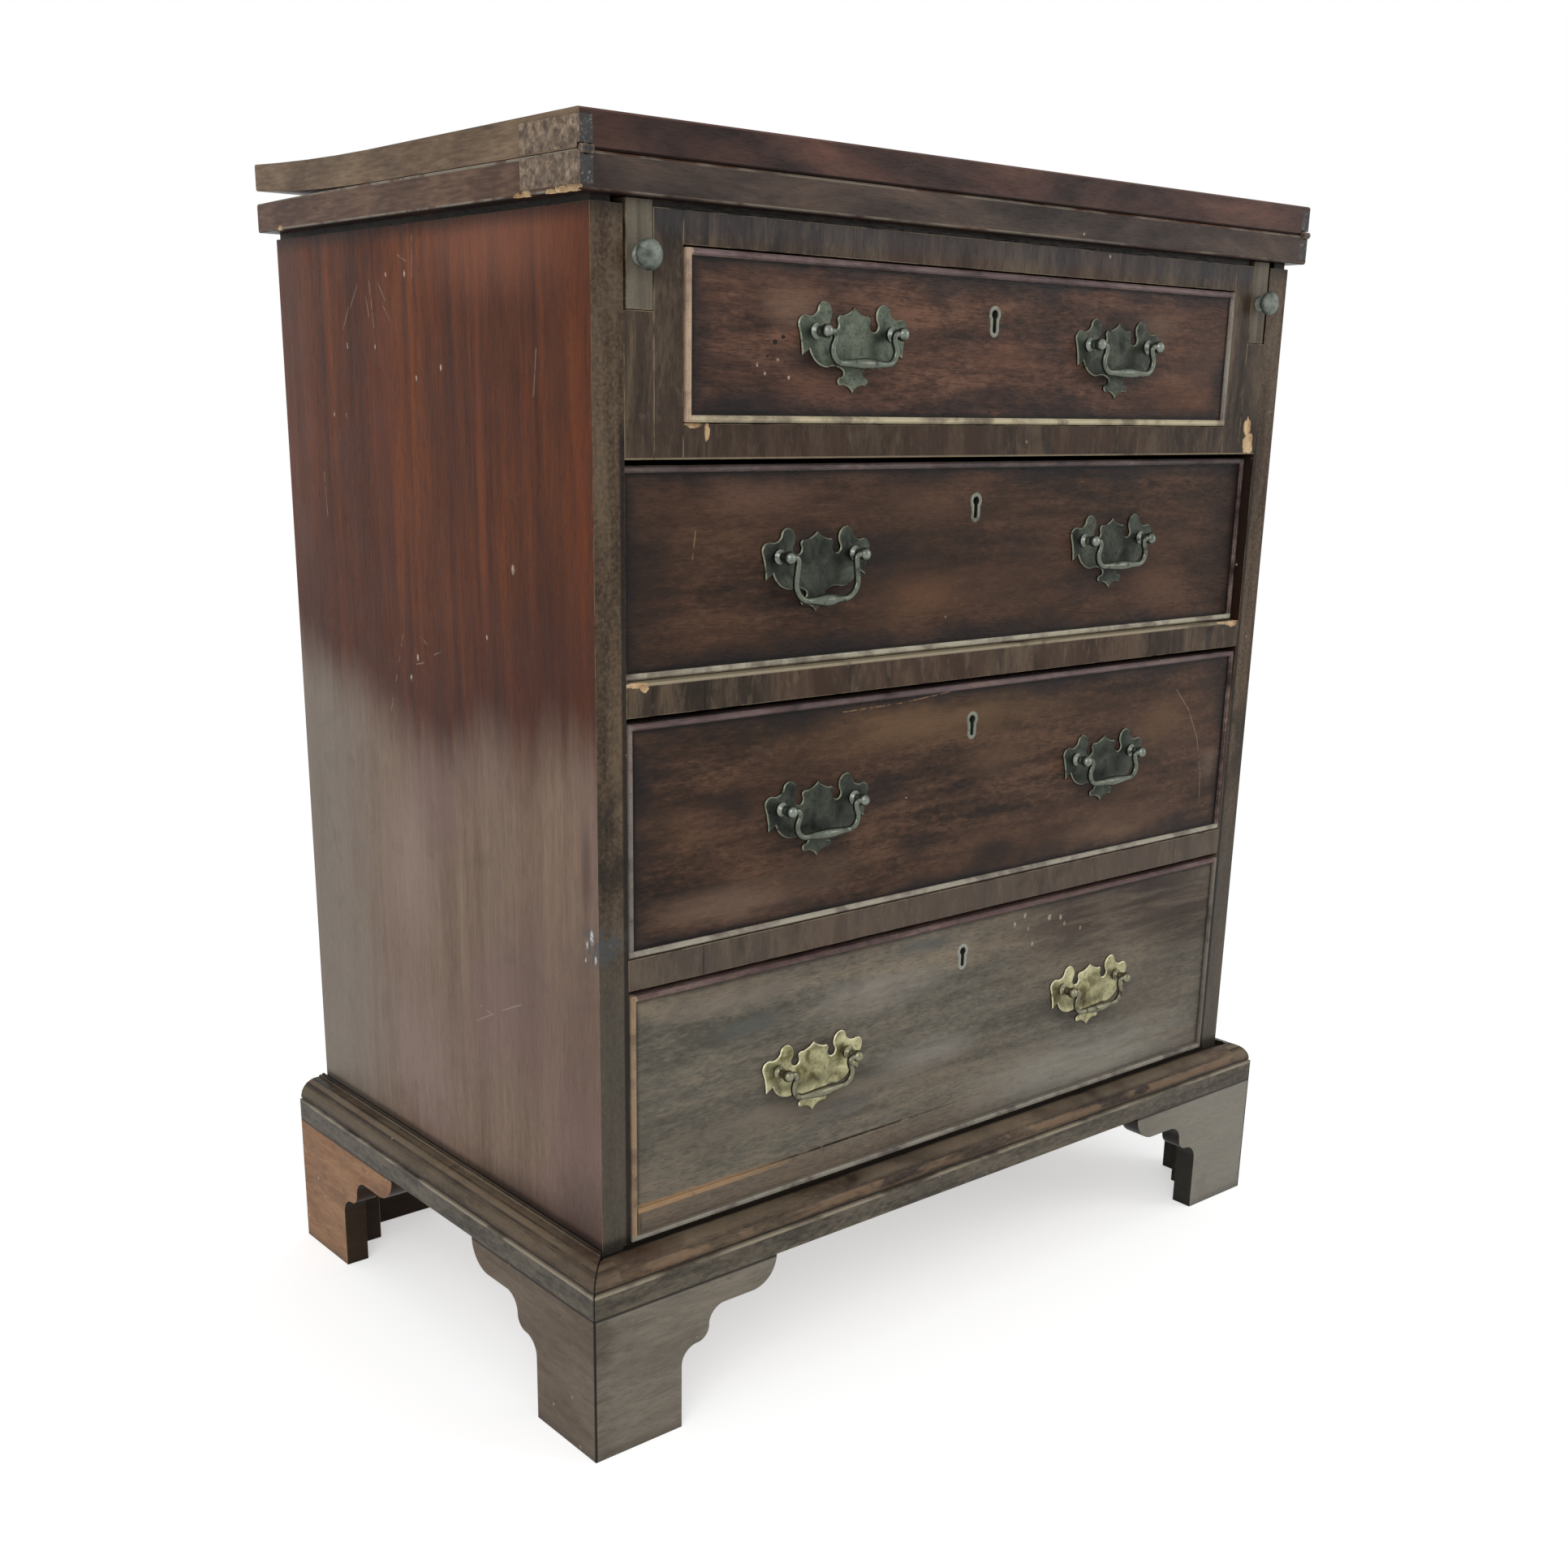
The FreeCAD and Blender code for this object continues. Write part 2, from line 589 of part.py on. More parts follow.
def bracket():
    """One scrolled bracket in its own corner frame: s runs along X from the corner, thickness along Y."""
    hollow_s = FOOT_WIDTH + BRACKET_HOLLOW
    cove_s = hollow_s + BRACKET_NOSE
    flat_s = cove_s + BRACKET_COVE
    round_s = flat_s + BRACKET_FLAT
    flat_z = FOOT_HEIGHT - BRACKET_ROUND
    nose_z = flat_z - BRACKET_COVE
    hollow_z = nose_z - BRACKET_NOSE
    leg_z = hollow_z - BRACKET_HOLLOW
    slant = math.sqrt(0.5)
    steps = [
        (FOOT_WIDTH, 0), (FOOT_WIDTH, leg_z),
        ((hollow_s - BRACKET_HOLLOW * slant, leg_z + BRACKET_HOLLOW * slant), (hollow_s, hollow_z)),
        ((hollow_s + BRACKET_NOSE * slant, nose_z - BRACKET_NOSE * slant), (cove_s, nose_z)),
        ((flat_s - BRACKET_COVE * slant, nose_z + BRACKET_COVE * slant), (flat_s, flat_z)),
        (round_s, flat_z),
        ((round_s + BRACKET_ROUND * slant, FOOT_HEIGHT - BRACKET_ROUND * slant),
         (round_s + BRACKET_ROUND, FOOT_HEIGHT)),
        (0, FOOT_HEIGHT),
    ]
    board = prism((0, 0), steps, lambda s, z: V(s, 0, z), V(0, FOOT_THICKNESS, 0))
    mitre = plan_prism([(0, 0), (FOOT_THICKNESS, FOOT_THICKNESS), (0, FOOT_THICKNESS)], 0, FOOT_HEIGHT)
    return board.cut(mitre)


def square_bracket():
    """The side bracket of a rear foot: the same scroll, with a square end at the back."""
    whole = bracket()
    corner = plan_prism([(0, 0), (FOOT_THICKNESS, FOOT_THICKNESS), (0, FOOT_THICKNESS)], 0, FOOT_HEIGHT)
    return whole.fuse(corner).removeSplitter()


def swap_xy(shape):
    return shape.mirror(V(0, 0, 0), V(1, -1, 0))


def front_foot():
    block = box(FOOT_THICKNESS, FOOT_THICKNESS + GLUE_BLOCK, FOOT_THICKNESS, FOOT_THICKNESS + GLUE_BLOCK,
                GLUE_BLOCK_LIFT, FOOT_HEIGHT)
    return [bracket(), swap_xy(bracket()), block]


def rear_foot():
    inset = LEAF_OVERHANG_BACK
    inner = inset + FOOT_THICKNESS
    rear = box(FOOT_THICKNESS, REAR_BRACKET_LENGTH, inset, inner, GLUE_BLOCK_LIFT, FOOT_HEIGHT)
    block = box(FOOT_THICKNESS, FOOT_THICKNESS + GLUE_BLOCK, inner, inner + GLUE_BLOCK,
                GLUE_BLOCK_LIFT, FOOT_HEIGHT)
    return [swap_xy(square_bracket()), rear, block]


def left_feet():
    """The two left feet at their corners; the right ones are their mirror images."""
    front = [solid.translated(V(-BASE_HALF, BASE_FRONT_Y, 0)) for solid in front_foot()]
    turned = [solid.mirror(V(0, 0, 0), V(0, 1, 0)) for solid in rear_foot()]
    rear = [solid.translated(V(-BASE_HALF, LEAF_BACK_Y, 0)) for solid in turned]
    return front, rear


# Drawers

def face_y(n):
    return FRONT_Y + SETBACK[n]


def front_half(n):
    return OPENING_HALF[n] - DRAWER_SIDE_GAP


def front_bottom(n):
    return FLOOR[n] + FRONT_LIFT


def front_top(n):
    return CEILING[n] - TOP_GAP[n]


def handle_places(n):
    z = (front_bottom(n) + front_top(n)) / 2 + HANDLE_RISE
    return [(-SPACING[n] / 2, z), (SPACING[n] / 2, z)]


def post_places(n):
    return [(x + way * POST_SPACING / 2, z) for x, z in handle_places(n) for way in (-1, 1)]


def keyhole_steps(radius, slot, tail):
    """Start point and steps of a keyhole outline: a round head over a straight slot with a round foot."""
    half = slot / 2
    join = -math.sqrt(radius * radius - half * half)
    foot = half - tail
    start = (half, join)
    return start, [((0, radius), (-half, join)), (-half, foot), ((0, -tail), (half, foot)), start]


def keyhole(n, grow, y0, y1):
    start, steps = keyhole_steps(KEYHOLE_RADIUS + grow, KEYHOLE_SLOT + 2 * grow, KEYHOLE_TAIL + grow)
    return front_prism(start, flats(start, steps), 0, front_top(n) - KEYHOLE_DROP, y0, y1)


def lock_case_blank(n):
    y0 = face_y(n) + BEAD_DEPTH
    y1 = face_y(n) + FRONT_THICKNESS
    return box(-LOCK_WIDTH / 2, LOCK_WIDTH / 2, y0, y1, front_top(n) - LOCK_HEIGHT, front_top(n))


def drawer_front(n):
    """A board rebated all round for the cockbeads, bored for the handles and let in for the lock."""
    half, low, high, face = front_half(n), front_bottom(n), front_top(n), face_y(n)
    back = face + FRONT_THICKNESS
    bed = face + BEAD_DEPTH
    field_half = half - BEAD_WIDTH
    field = box(-field_half, field_half, face, bed, low + BEAD_WIDTH, high - BEAD_WIDTH)
    board = box(-half, half, bed, back, low, high).fuse(field).removeSplitter()
    cuts = [lock_case_blank(n), keyhole(n, ESCUTCHEON_RIM, face, bed)]
    reach = SHANK / 2 + SHANK_FIT
    for x, z in post_places(n):
        cuts.append(box(x - reach, x + reach, face, back, z - reach, z + reach))
    if n == 4:
        cuts.append(strip_bed())
    for tail in dovetails(n):
        cuts += [tail, mirror_x(tail)]
    return board.cut(cuts)


def strip_bed():
    half, low, face = front_half(4) - BEAD_WIDTH, front_bottom(4) + BEAD_WIDTH, face_y(4)
    return box(-half, half, face, face + STRIP_DEPTH, low, low + STRIP_HEIGHT)


def lower_strip():
    """The loose facing strip along the foot of the bottom drawer, sprung forward at its left end."""
    half, low, face = front_half(4) - BEAD_WIDTH, front_bottom(4) + BEAD_WIDTH, face_y(4)
    back = face + STRIP_DEPTH
    plan = [(-half, back), (-half, face - STRIP_PROUD), (0, face), (half, face), (half, back)]
    return plan_prism(plan, low, low + STRIP_HEIGHT)


def cockbeads(n):
    """Four mitred beads with rounded noses."""
    half, low, high, face = front_half(n), front_bottom(n), front_top(n), face_y(n)
    nose_y, back_y = face - BEAD_PROUD, face + BEAD_DEPTH
    cheek_y = nose_y + BEAD_NOSE
    nose = ((BEAD_WIDTH / 2, nose_y), (BEAD_WIDTH, cheek_y))
    rounded = [(0, cheek_y)] + flats((0, cheek_y), [nose]) + [(BEAD_WIDTH, back_y)]
    inner_half, inner_low, inner_high = half - BEAD_WIDTH, low + BEAD_WIDTH, high - BEAD_WIDTH
    runs = [
        (lambda w, y: V(-half, y, high - w), V(2 * half, 0, 0),
         [(-half, high), (half, high), (inner_half, inner_high), (-inner_half, inner_high)]),
        (lambda w, y: V(-half, y, low + w), V(2 * half, 0, 0),
         [(-half, low), (half, low), (inner_half, inner_low), (-inner_half, inner_low)]),
        (lambda w, y: V(-half + w, y, low), V(0, 0, high - low),
         [(-half, low), (-half, high), (-inner_half, inner_high), (-inner_half, inner_low)]),
        (lambda w, y: V(half - w, y, low), V(0, 0, high - low),
         [(half, low), (half, high), (inner_half, inner_high), (inner_half, inner_low)]),
    ]
    beads = []
    for place, along, mitred in runs:
        strip = prism((0, back_y), rounded, place, along)
        beads.append(strip.common(front_prism(mitred[0], mitred[1:], 0, 0, nose_y - BEAD_PROUD, back_y)))
    return beads


def side_levels(n):
    return FLOOR[n] + DRAWER_LIFT, front_top(n) - DRAWER_SIDE_DROP


def dovetails(n):
    """The right side's tails, lapped into the back of the drawer front."""
    low, high = side_levels(n)
    count = max(2, round((high - low) / TAIL_PITCH))
    pitch = (high - low) / count
    tip = (pitch - PIN_WIDTH) / 2
    root = tip - TAIL_FLARE
    root_y = face_y(n) + FRONT_THICKNESS
    inside = front_half(n) - DRAWER_SIDE
    outline = [(0, -root), (0, root), (-TAIL_LENGTH, tip), (-TAIL_LENGTH, -tip)]
    tails = []
    for index in range(count):
        centre = low + (index + 0.5) * pitch
        tails.append(prism(outline[0], outline[1:], lambda y, z: V(inside, root_y + y, centre + z),
                           V(DRAWER_SIDE, 0, 0)))
    return tails


def drawer_box(n):
    """Two sides dovetailed to the front and grooved for the bottom; the back stands on the bottom."""
    low, high = side_levels(n)
    half = front_half(n)
    y0, y1 = face_y(n) + FRONT_THICKNESS, BACK_INNER_Y - DRAWER_BACK_GAP
    groove_z = low + BOTTOM_RAISE
    inside = half - DRAWER_SIDE
    side = box(inside, half, y0, y1, low, high).fuse(dovetails(n)).removeSplitter()
    side = side.cut(box(inside, inside + BOTTOM_GROOVE, y0, y1, groove_z, groove_z + DRAWER_BOTTOM))
    back = box(-inside, inside, y1 - DRAWER_SIDE, y1, groove_z + DRAWER_BOTTOM, high - DRAWER_BACK_DROP)
    return [mirror_x(side), side, back]


def drawer_bottom(n):
    reach = front_half(n) - DRAWER_SIDE + BOTTOM_GROOVE
    low = FLOOR[n] + DRAWER_LIFT + BOTTOM_RAISE
    y0, y1 = face_y(n) + FRONT_THICKNESS, BACK_INNER_Y - DRAWER_BACK_GAP
    return box(-reach, reach, y0, y1, low, low + DRAWER_BOTTOM)


# Brasses

def plate_half():
    """Right half of the batwing outline, from the crest down to the drop, around the posts' level."""
    post_u = POST_SPACING / 2
    crest = (0.0, 14.8)
    steps = [
        ((4.0, 11.9), (10.2, 9.9)),
        ((13.2, 9.2), (13.7, 6.4)),
        ((16.6, 0.9), (19.5, 6.4)),
        ((19.7, 14.9), (24.6, 17.6)),
        ((28.8, 15.9), (30.2, 12.4)),
        ((post_u + 1.3, 9.6), (post_u + 6.2, 8.9)),
        ((post_u + 12.1, 7.9), (post_u + 14.0, 3.4)),
        ((post_u + 11.4, -5.2), (post_u + 10.4, -14.2)),
        (post_u + 4.6, -10.6),
        ((30.2, -18.3), (21.4, -20.9)),
        ((14.4, -20.2), (9.3, -22.0)),
        ((8.1, -24.4), (10.0, -26.4)),
        ((12.9, -29.0), (9.2, -30.9)),
        ((4.2, -32.0), (0.0, -35.8)),
    ]
    return crest, steps


def back_plate(n, x, z):
    crest, half = plate_half()
    face = face_y(n)
    outline = mirrored_steps(crest, flats(crest, half))
    plate = front_prism(crest, outline, x, z, face - PLATE_THICKNESS, face)
    reach = SHANK / 2 + SHANK_FIT
    holes = []
    for way in (-1, 1):
        post_x = x + way * POST_SPACING / 2
        holes.append(box(post_x - reach, post_x + reach, face - PLATE_THICKNESS, face, z - reach, z + reach))
    return plate.cut(holes)


def post(n, x, z, way):
    """A ball-headed post on a square shank; the ball is bored from its inner side for the bail's pin."""
    seat = face_y(n) - PLATE_THICKNESS
    profile = [(COLLAR_RADIUS, 0), (COLLAR_RADIUS, COLLAR_HEIGHT), (NECK_RADIUS, NECK_START)]
    for turn in (-50, -16, 28, 66):
        angle = math.radians(turn)
        profile.append((BALL_RADIUS * math.cos(angle), POST_REACH + BALL_RADIUS * math.sin(angle)))
    half = SHANK / 2
    tip = face_y(n) + FRONT_THICKNESS + 2 * NUT_THICKNESS
    shank = box(x - half, x + half, seat, tip, z - half, z + half)
    reach = BAIL_PIN_RADIUS + BAIL_FIT
    ends = sorted((x - way * 2 * BALL_RADIUS, x + way * BAIL_PIN_DEPTH))
    ball_y = seat - POST_REACH
    bore = box(ends[0], ends[1], ball_y - reach, ball_y + reach, z - reach, z + reach)
    return turned(profile, TURNED_SIDES, x, seat, z).fuse(shank).cut(bore)


def nut(n, x, z):
    half, reach = NUT / 2, SHANK / 2 + SHANK_FIT
    y0 = face_y(n) + FRONT_THICKNESS
    blank = box(x - half, x + half, y0, y0 + NUT_THICKNESS, z - half, z + half)
    return blank.cut(box(x - reach, x + reach, y0, y0 + NUT_THICKNESS, z - reach, z + reach))


def escutcheon(n):
    """The thread escutcheon, a keyhole-shaped brass lining as deep as the hole."""
    y0, y1 = face_y(n) - ESCUTCHEON_PROUD, face_y(n) + BEAD_DEPTH
    return keyhole(n, ESCUTCHEON_RIM, y0, y1).cut(keyhole(n, 0, y0, y1))


def bolt_room(n, grow):
    """The bolt's own box, grown for the pocket that it slides in."""
    centre = face_y(n) + BEAD_DEPTH + LOCK_DEPTH / 2
    half_x, half_y = BOLT_WIDTH / 2 + grow, BOLT_THICKNESS / 2 + grow
    low = front_top(n) - BOLT_HEIGHT - grow
    return box(-half_x, half_x, centre - half_y, centre + half_y, low, front_top(n))


def lock_case(n):
    return lock_case_blank(n).cut(bolt_room(n, BOLT_FIT))


SWAN_BAIL = (BAIL_LEG, BAIL_SWAN_ANGLE, BAIL_CORNER_RADIUS, BAIL_BAR_RADIUS)
PLAIN_BAIL = (PLAIN_BAIL_LEG, PLAIN_BAIL_ANGLE, PLAIN_BAIL_CORNER_RADIUS, PLAIN_BAIL_BAR_RADIUS)


def bail_drop(leg, swan_deg, corner):
    """From the pins down to the middle of the bar."""
    swan = math.radians(swan_deg)
    bends = BAIL_SHOULDER + BAIL_SWAN_RADIUS * math.sin(swan) + corner * (1 + math.sin(swan))
    return bends + leg * math.cos(swan)


def bail_half(leg, swan_deg, corner, bar):
    """Right half of a bail's centre line as (u, w, radius): pin, shoulder, leg, corner, swelling bar."""
    swan = math.radians(swan_deg)
    start_u = POST_SPACING / 2 - BALL_RADIUS - BAIL_BALL_GAP
    neck_u = start_u - BAIL_SHOULDER
    drop = bail_drop(leg, swan_deg, corner)
    slant = BAIL_SHOULDER * (1 - math.sqrt(0.5))
    neck = (neck_u, -BAIL_SHOULDER)
    swan_u = neck_u + BAIL_SWAN_RADIUS * (1 - math.cos(swan))
    swan_end = (swan_u, neck[1] - BAIL_SWAN_RADIUS * math.sin(swan))
    leg_end = (swan_u + leg * math.sin(swan), swan_end[1] - leg * math.cos(swan))
    centre_u = leg_end[0] - corner * math.cos(swan)
    centre_w = corner - drop
    middle = (swan - math.pi / 2) / 2
    corner_mid = (centre_u + corner * math.cos(middle), centre_w + corner * math.sin(middle))
    steps = [((neck_u + slant, -slant), neck), swan_end, leg_end, (corner_mid, (centre_u, -drop))]
    pin_u = POST_SPACING / 2 + BAIL_PIN_DEPTH - BAIL_FIT
    points = [(pin_u, 0, BAIL_PIN_RADIUS), (start_u + 2 * BAIL_EASING, 0, BAIL_PIN_RADIUS),
              (start_u + BAIL_EASING, 0, BAIL_RADIUS), (start_u, 0, BAIL_RADIUS)]
    points += [(u, w, BAIL_RADIUS) for u, w in flats((start_u, 0), steps)]
    points += [(centre_u - BAIL_EASING, -drop, BAIL_RADIUS), (centre_u / 2, -drop, bar)]
    return points


def bail(n, x, z, shape):
    """A drop handle: pins in the balls, curved legs and a bar that swells in the middle."""
    y = face_y(n) - PLATE_THICKNESS - POST_REACH
    half = bail_half(*shape)
    path = half + [(-u, w, radius) for u, w, radius in reversed(half)]
    rings = []
    for index, (u, w, radius) in enumerate(path):
        before, after = path[max(index - 1, 0)], path[min(index + 1, len(path) - 1)]
        heading_in = V(u - before[0], 0, w - before[1])
        heading_out = V(after[0] - u, 0, after[1] - w)
        ways = [heading.normalize() for heading in (heading_in, heading_out) if heading.Length > 0]
        across = [V(-way.z, 0, way.x) for way in ways]
        mitre = (across[0] + across[-1]).normalize()
        stretch = 1 / mitre.dot(across[0])
        rings.append([V(x + u, y + radius * math.cos(a), z + w) + mitre * (radius * stretch * math.sin(a))
                      for a in ring_angles(BAIL_SIDES)])
    return skin(rings)


def save_drawer(n):
    strip = [lower_strip()] if n == 4 else []
    save(f"drawer_{n}_front", drawer_front(n), *strip)
    save(f"drawer_{n}_box", *drawer_box(n))
    save(f"drawer_{n}_bottom", drawer_bottom(n))
    save(f"drawer_{n}_cockbeads", *cockbeads(n))
    brasses = [back_plate(n, x, z) for x, z in handle_places(n)]
    for index, (x, z) in enumerate(post_places(n)):
        way = -1 if index % 2 == 0 else 1
        brasses += [post(n, x, z, way), nut(n, x, z)]
    save(f"drawer_{n}_brasses", *brasses, escutcheon(n), lock_case(n))
    save(f"drawer_{n}_lock_bolt", bolt_room(n, 0))
    for name, (x, z) in zip(("left", "right"), handle_places(n)):
        plain = n == 2 and name == "left"
        save(f"drawer_{n}_bail_{name}", bail(n, x, z, PLAIN_BAIL if plain else SWAN_BAIL))


def save_pair(name, right):
    save(name, mirror_x(right), right)


def main():
    os.makedirs("parts", exist_ok=True)
    save("side_left", mirror_x(side_right()))
    save("side_right", side_right())
    save("carcass_bottom", carcass_bottom())
    save("dustboards", *[dustboard(n) for n in (1, 2, 3)])
    save("frieze_rail", frieze_rail())
    save("rail_upper", rail_above(2))
    save("rail_middle", rail_above(3))
    save("rail_lower", rail_above(4))
    save_pair("front_stiles", stile_right())
    save_pair("loper_partitions", partition_right())
    save_pair("loper_runners", loper_runner_right())
    save("sub_top", sub_top())
    save("back_boards", *back_boards())
    save("drawer_stops", *drawer_stops())
    save("base_moulding", base_front(), mirror_x(base_right()), base_right())
    front, rear = left_feet()
    for place, solids in (("front", front), ("rear", rear)):
        save(f"foot_{place}_left", *solids)
        save(f"foot_{place}_right", *[mirror_x(solid) for solid in solids])
    save("fixed_leaf", fixed_leaf())
    save("fold_leaf", fold_leaf())
    lower, upper, pin = hinge_plate(-1), hinge_plate(1), hinge_pin()
    save("hinge_plates_fixed", mirror_x(lower), lower, mirror_x(pin), pin)
    save_pair("hinge_plates_fold", upper)
    save("loper_left", mirror_x(loper_right()))
    save("loper_right", loper_right())
    save("loper_knob_left", mirror_x(loper_knob_right()))
    save("loper_knob_right", loper_knob_right())
    for n in DRAWERS:
        save_drawer(n)


main()
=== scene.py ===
"""Looks of a bachelor's chest: eased and worn mahogany, cast brasses, light and camera.

Lengths are in metres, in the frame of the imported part: +X right, +Y back, +Z up.
"""

import json
import math

import bmesh
import bpy
from mathutils import Matrix, Vector, noise

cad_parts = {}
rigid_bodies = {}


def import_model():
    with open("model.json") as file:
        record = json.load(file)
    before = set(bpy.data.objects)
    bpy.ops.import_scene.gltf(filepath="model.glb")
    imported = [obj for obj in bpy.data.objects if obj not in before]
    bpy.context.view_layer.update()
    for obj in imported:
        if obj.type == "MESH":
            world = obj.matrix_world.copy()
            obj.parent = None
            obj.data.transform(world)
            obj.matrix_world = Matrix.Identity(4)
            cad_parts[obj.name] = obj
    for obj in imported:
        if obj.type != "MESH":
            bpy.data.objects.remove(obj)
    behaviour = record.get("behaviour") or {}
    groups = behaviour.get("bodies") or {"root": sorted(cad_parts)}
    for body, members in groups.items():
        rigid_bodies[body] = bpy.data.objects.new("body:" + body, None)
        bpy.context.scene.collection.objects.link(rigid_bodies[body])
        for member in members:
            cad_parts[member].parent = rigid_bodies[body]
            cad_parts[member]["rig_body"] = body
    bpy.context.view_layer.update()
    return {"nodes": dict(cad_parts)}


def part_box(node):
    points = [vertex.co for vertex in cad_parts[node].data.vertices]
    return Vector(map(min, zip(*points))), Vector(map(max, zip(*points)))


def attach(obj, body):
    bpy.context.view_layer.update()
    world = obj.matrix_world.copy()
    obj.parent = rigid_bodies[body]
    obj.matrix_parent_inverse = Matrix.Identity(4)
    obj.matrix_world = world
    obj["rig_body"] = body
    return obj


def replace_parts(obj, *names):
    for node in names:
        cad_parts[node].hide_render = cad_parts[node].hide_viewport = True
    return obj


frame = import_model()

MM = 0.001

# Camera, in pixels of the square photograph and metres
PHOTO_SIDE = 1932
FOCAL_PIXELS = 2167.86
AXIS_PIXEL = (953.61, 1146.53)
SENSOR_WIDTH = 36
CAMERA_PLACE = Vector((-0.9014, -1.0403, 0.664))
CAMERA_RIGHT = Vector((0.76793, -0.64032, 0.01648))
CAMERA_DOWN = Vector((-0.17284, -0.23192, -0.95726))

# Light
SKY_LEVEL = 0.62
# Each lamp: name, place, size, power
LAMPS = [("key", (-2.7, -2.3, 2.3), 2.4, 48), ("fill", (2.4, -2.6, 1.6), 2, 22)]
AIM = (0, 0, 0.42)
FLOOR_REACH = 14
FLOOR_SIDES = 64
FLOOR_LIFT = 0.5
FLOOR_COLOUR = (0.82, 0.82, 0.82, 1)
WHITE = (1, 1, 1, 1)

# Arrises of the wood
CORNER_DIGITS = 6
FLAT_TURN = math.radians(0.6)
SHARP_TURN = math.radians(32)
SMOOTH_TURN = math.radians(40)
DENT_PITCH = 12 * MM
DENT_SCALE = 45
DENT_DEPTH = 0.5 * MM
EASE_HINGE = 0.3 * MM
EASE_FINE = 0.5 * MM
EASE_BEAD = 0.45 * MM
EASE_CASE = 1.3 * MM
EASE_FOOT = 1 * MM
EASE_LEAF = 0.9 * MM
CHIP_ROUGHNESS = 0.4
SCRATCH_WIDTH = 0.7 * MM

# Brasses
ARC_STEP = math.radians(9)
ROUND_SIDES = 28
POST_HALF = 31.75 * MM
PLATE_THICKNESS = 1.6 * MM
PLATE_WALL = 0.9 * MM
PLATE_BEVEL = 0.8 * MM
BALL_REACH = 10 * MM
BALL_RADIUS = 4.2 * MM
FRONT_THICKNESS = 20 * MM
FRONT_LAP = 6.5 * MM
BAIL_SIDES = 16
PIN_RADIUS = 1.5 * MM
BAIL_RADIUS = 2.1 * MM
PIN_DEPTH = 3.45 * MM
BALL_GAP = 0.4 * MM
SHOULDER = 2.6 * MM
SWAN_RADIUS = 8 * MM
# Each bail: leg, lean of its legs, radius of its corners, radius of its bar
SWAN_BAIL = (0.6 * MM, math.radians(28), 7.8 * MM, 3.5 * MM)
PLAIN_BAIL = (10.7 * MM, math.radians(8), 11.5 * MM, 4.3 * MM)
FORWARD_SWELL = 0.6
BAR_STEPS = 8
# Faces of posts and bails that look further forward than this are worn and carry a painted highlight
RUBBED_AND_LIT_TILT = -0.35
# Wear of faces that hold grime and painted shade: the walls of the plates
GRIMY_AND_SHADED = -1
KEYHOLE_DROP = 26 * MM
KEYHOLE_RADIUS = 2.9 * MM
KEYHOLE_SLOT = 3.2 * MM
KEYHOLE_TAIL = 11.7 * MM
KEYHOLE_STEPS = 48
RIM = 2.7 * MM
RIM_PROUD = 0.3 * MM
RIM_BEVEL = 0.45 * MM
RIM_DEPTH = 12 * MM

DRAWERS = (1, 2, 3, 4)
HALF_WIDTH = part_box("side_right")[1].x
CARCASS_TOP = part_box("side_right")[1].z
FOOT_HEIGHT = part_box("foot_front_left")[1].z
THUMB_Z = 120.7 * MM
FACING_STRIP = (139.6 * MM, 158.6 * MM)
# Top of the painted floor reflection that greys the lower sides
FLOOR_REFLECTION_TOP = 0.43
BASE_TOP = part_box("base_moulding")[1].z
SIDES = {"left": -1, "right": 1}


# Colour

def rgb(red, green, blue):
    """A display colour, 0 to 255, as the linear colour that the shaders take."""
    def linear(value):
        share = value / 255
        return share / 12.92 if share <= 0.04045 else ((share + 0.055) / 1.055) ** 2.4
    return (linear(red), linear(green), linear(blue), 1)


BARE_WOOD = (212, 186, 148)
TAN_WEAR = (164, 140, 108)
OLIVE_WEAR = (142, 128, 104)
# Dark colour for real grime and dark joints, and for painted shade in recesses and under things
GRIME_AND_SHADE = (18, 16, 15)
BLUE_BLACK = (27, 25, 27)
FLECK = (196, 180, 160)
GLOOM = (29, 24, 23)

# Cosine at which a face counts as square to an axis, at first and fully
SQUARE_ON = (0.62, 0.82)
NOISE_ROUGHNESS = 0.6


class Nodes:
    """Adds nodes to a shader tree, with their inputs linked or set."""

    def __init__(self, tree):
        self.tree = tree

    def feed(self, socket, value):
        """Links a socket to an output or sets it; a colour is set from a display colour."""
        if isinstance(value, bpy.types.NodeSocket):
            self.tree.links.new(value, socket)
        elif socket.type == "RGBA":
            socket.default_value = rgb(*value)
        else:
            socket.default_value = value

    def node(self, kind, inputs=(), output=0, **settings):
        """An output of a new node; inputs holds pairs of a socket's name or place and its value."""
        node = self.tree.nodes.new("ShaderNode" + kind)
        for key, value in settings.items():
            setattr(node, key, value)
        for key, value in inputs:
            self.feed(node.inputs[key], value)
        return node.outputs[output]

    def math(self, operation, *values):
        return self.node("Math", enumerate(values), operation=operation)

    def fold(self, operation, values):
        result, *others = values
        for value in others:
            result = self.math(operation, result, value)
        return result

    def seen_directly(self):
        """1 for what the camera sees straight, in a reflection or through glass."""
        rays = self.node("LightPath").node.outputs
        kinds = ("Camera", "Glossy", "Transmission")
        return self.fold("MAXIMUM", [rays[f"Is {kind} Ray"] for kind in kinds])


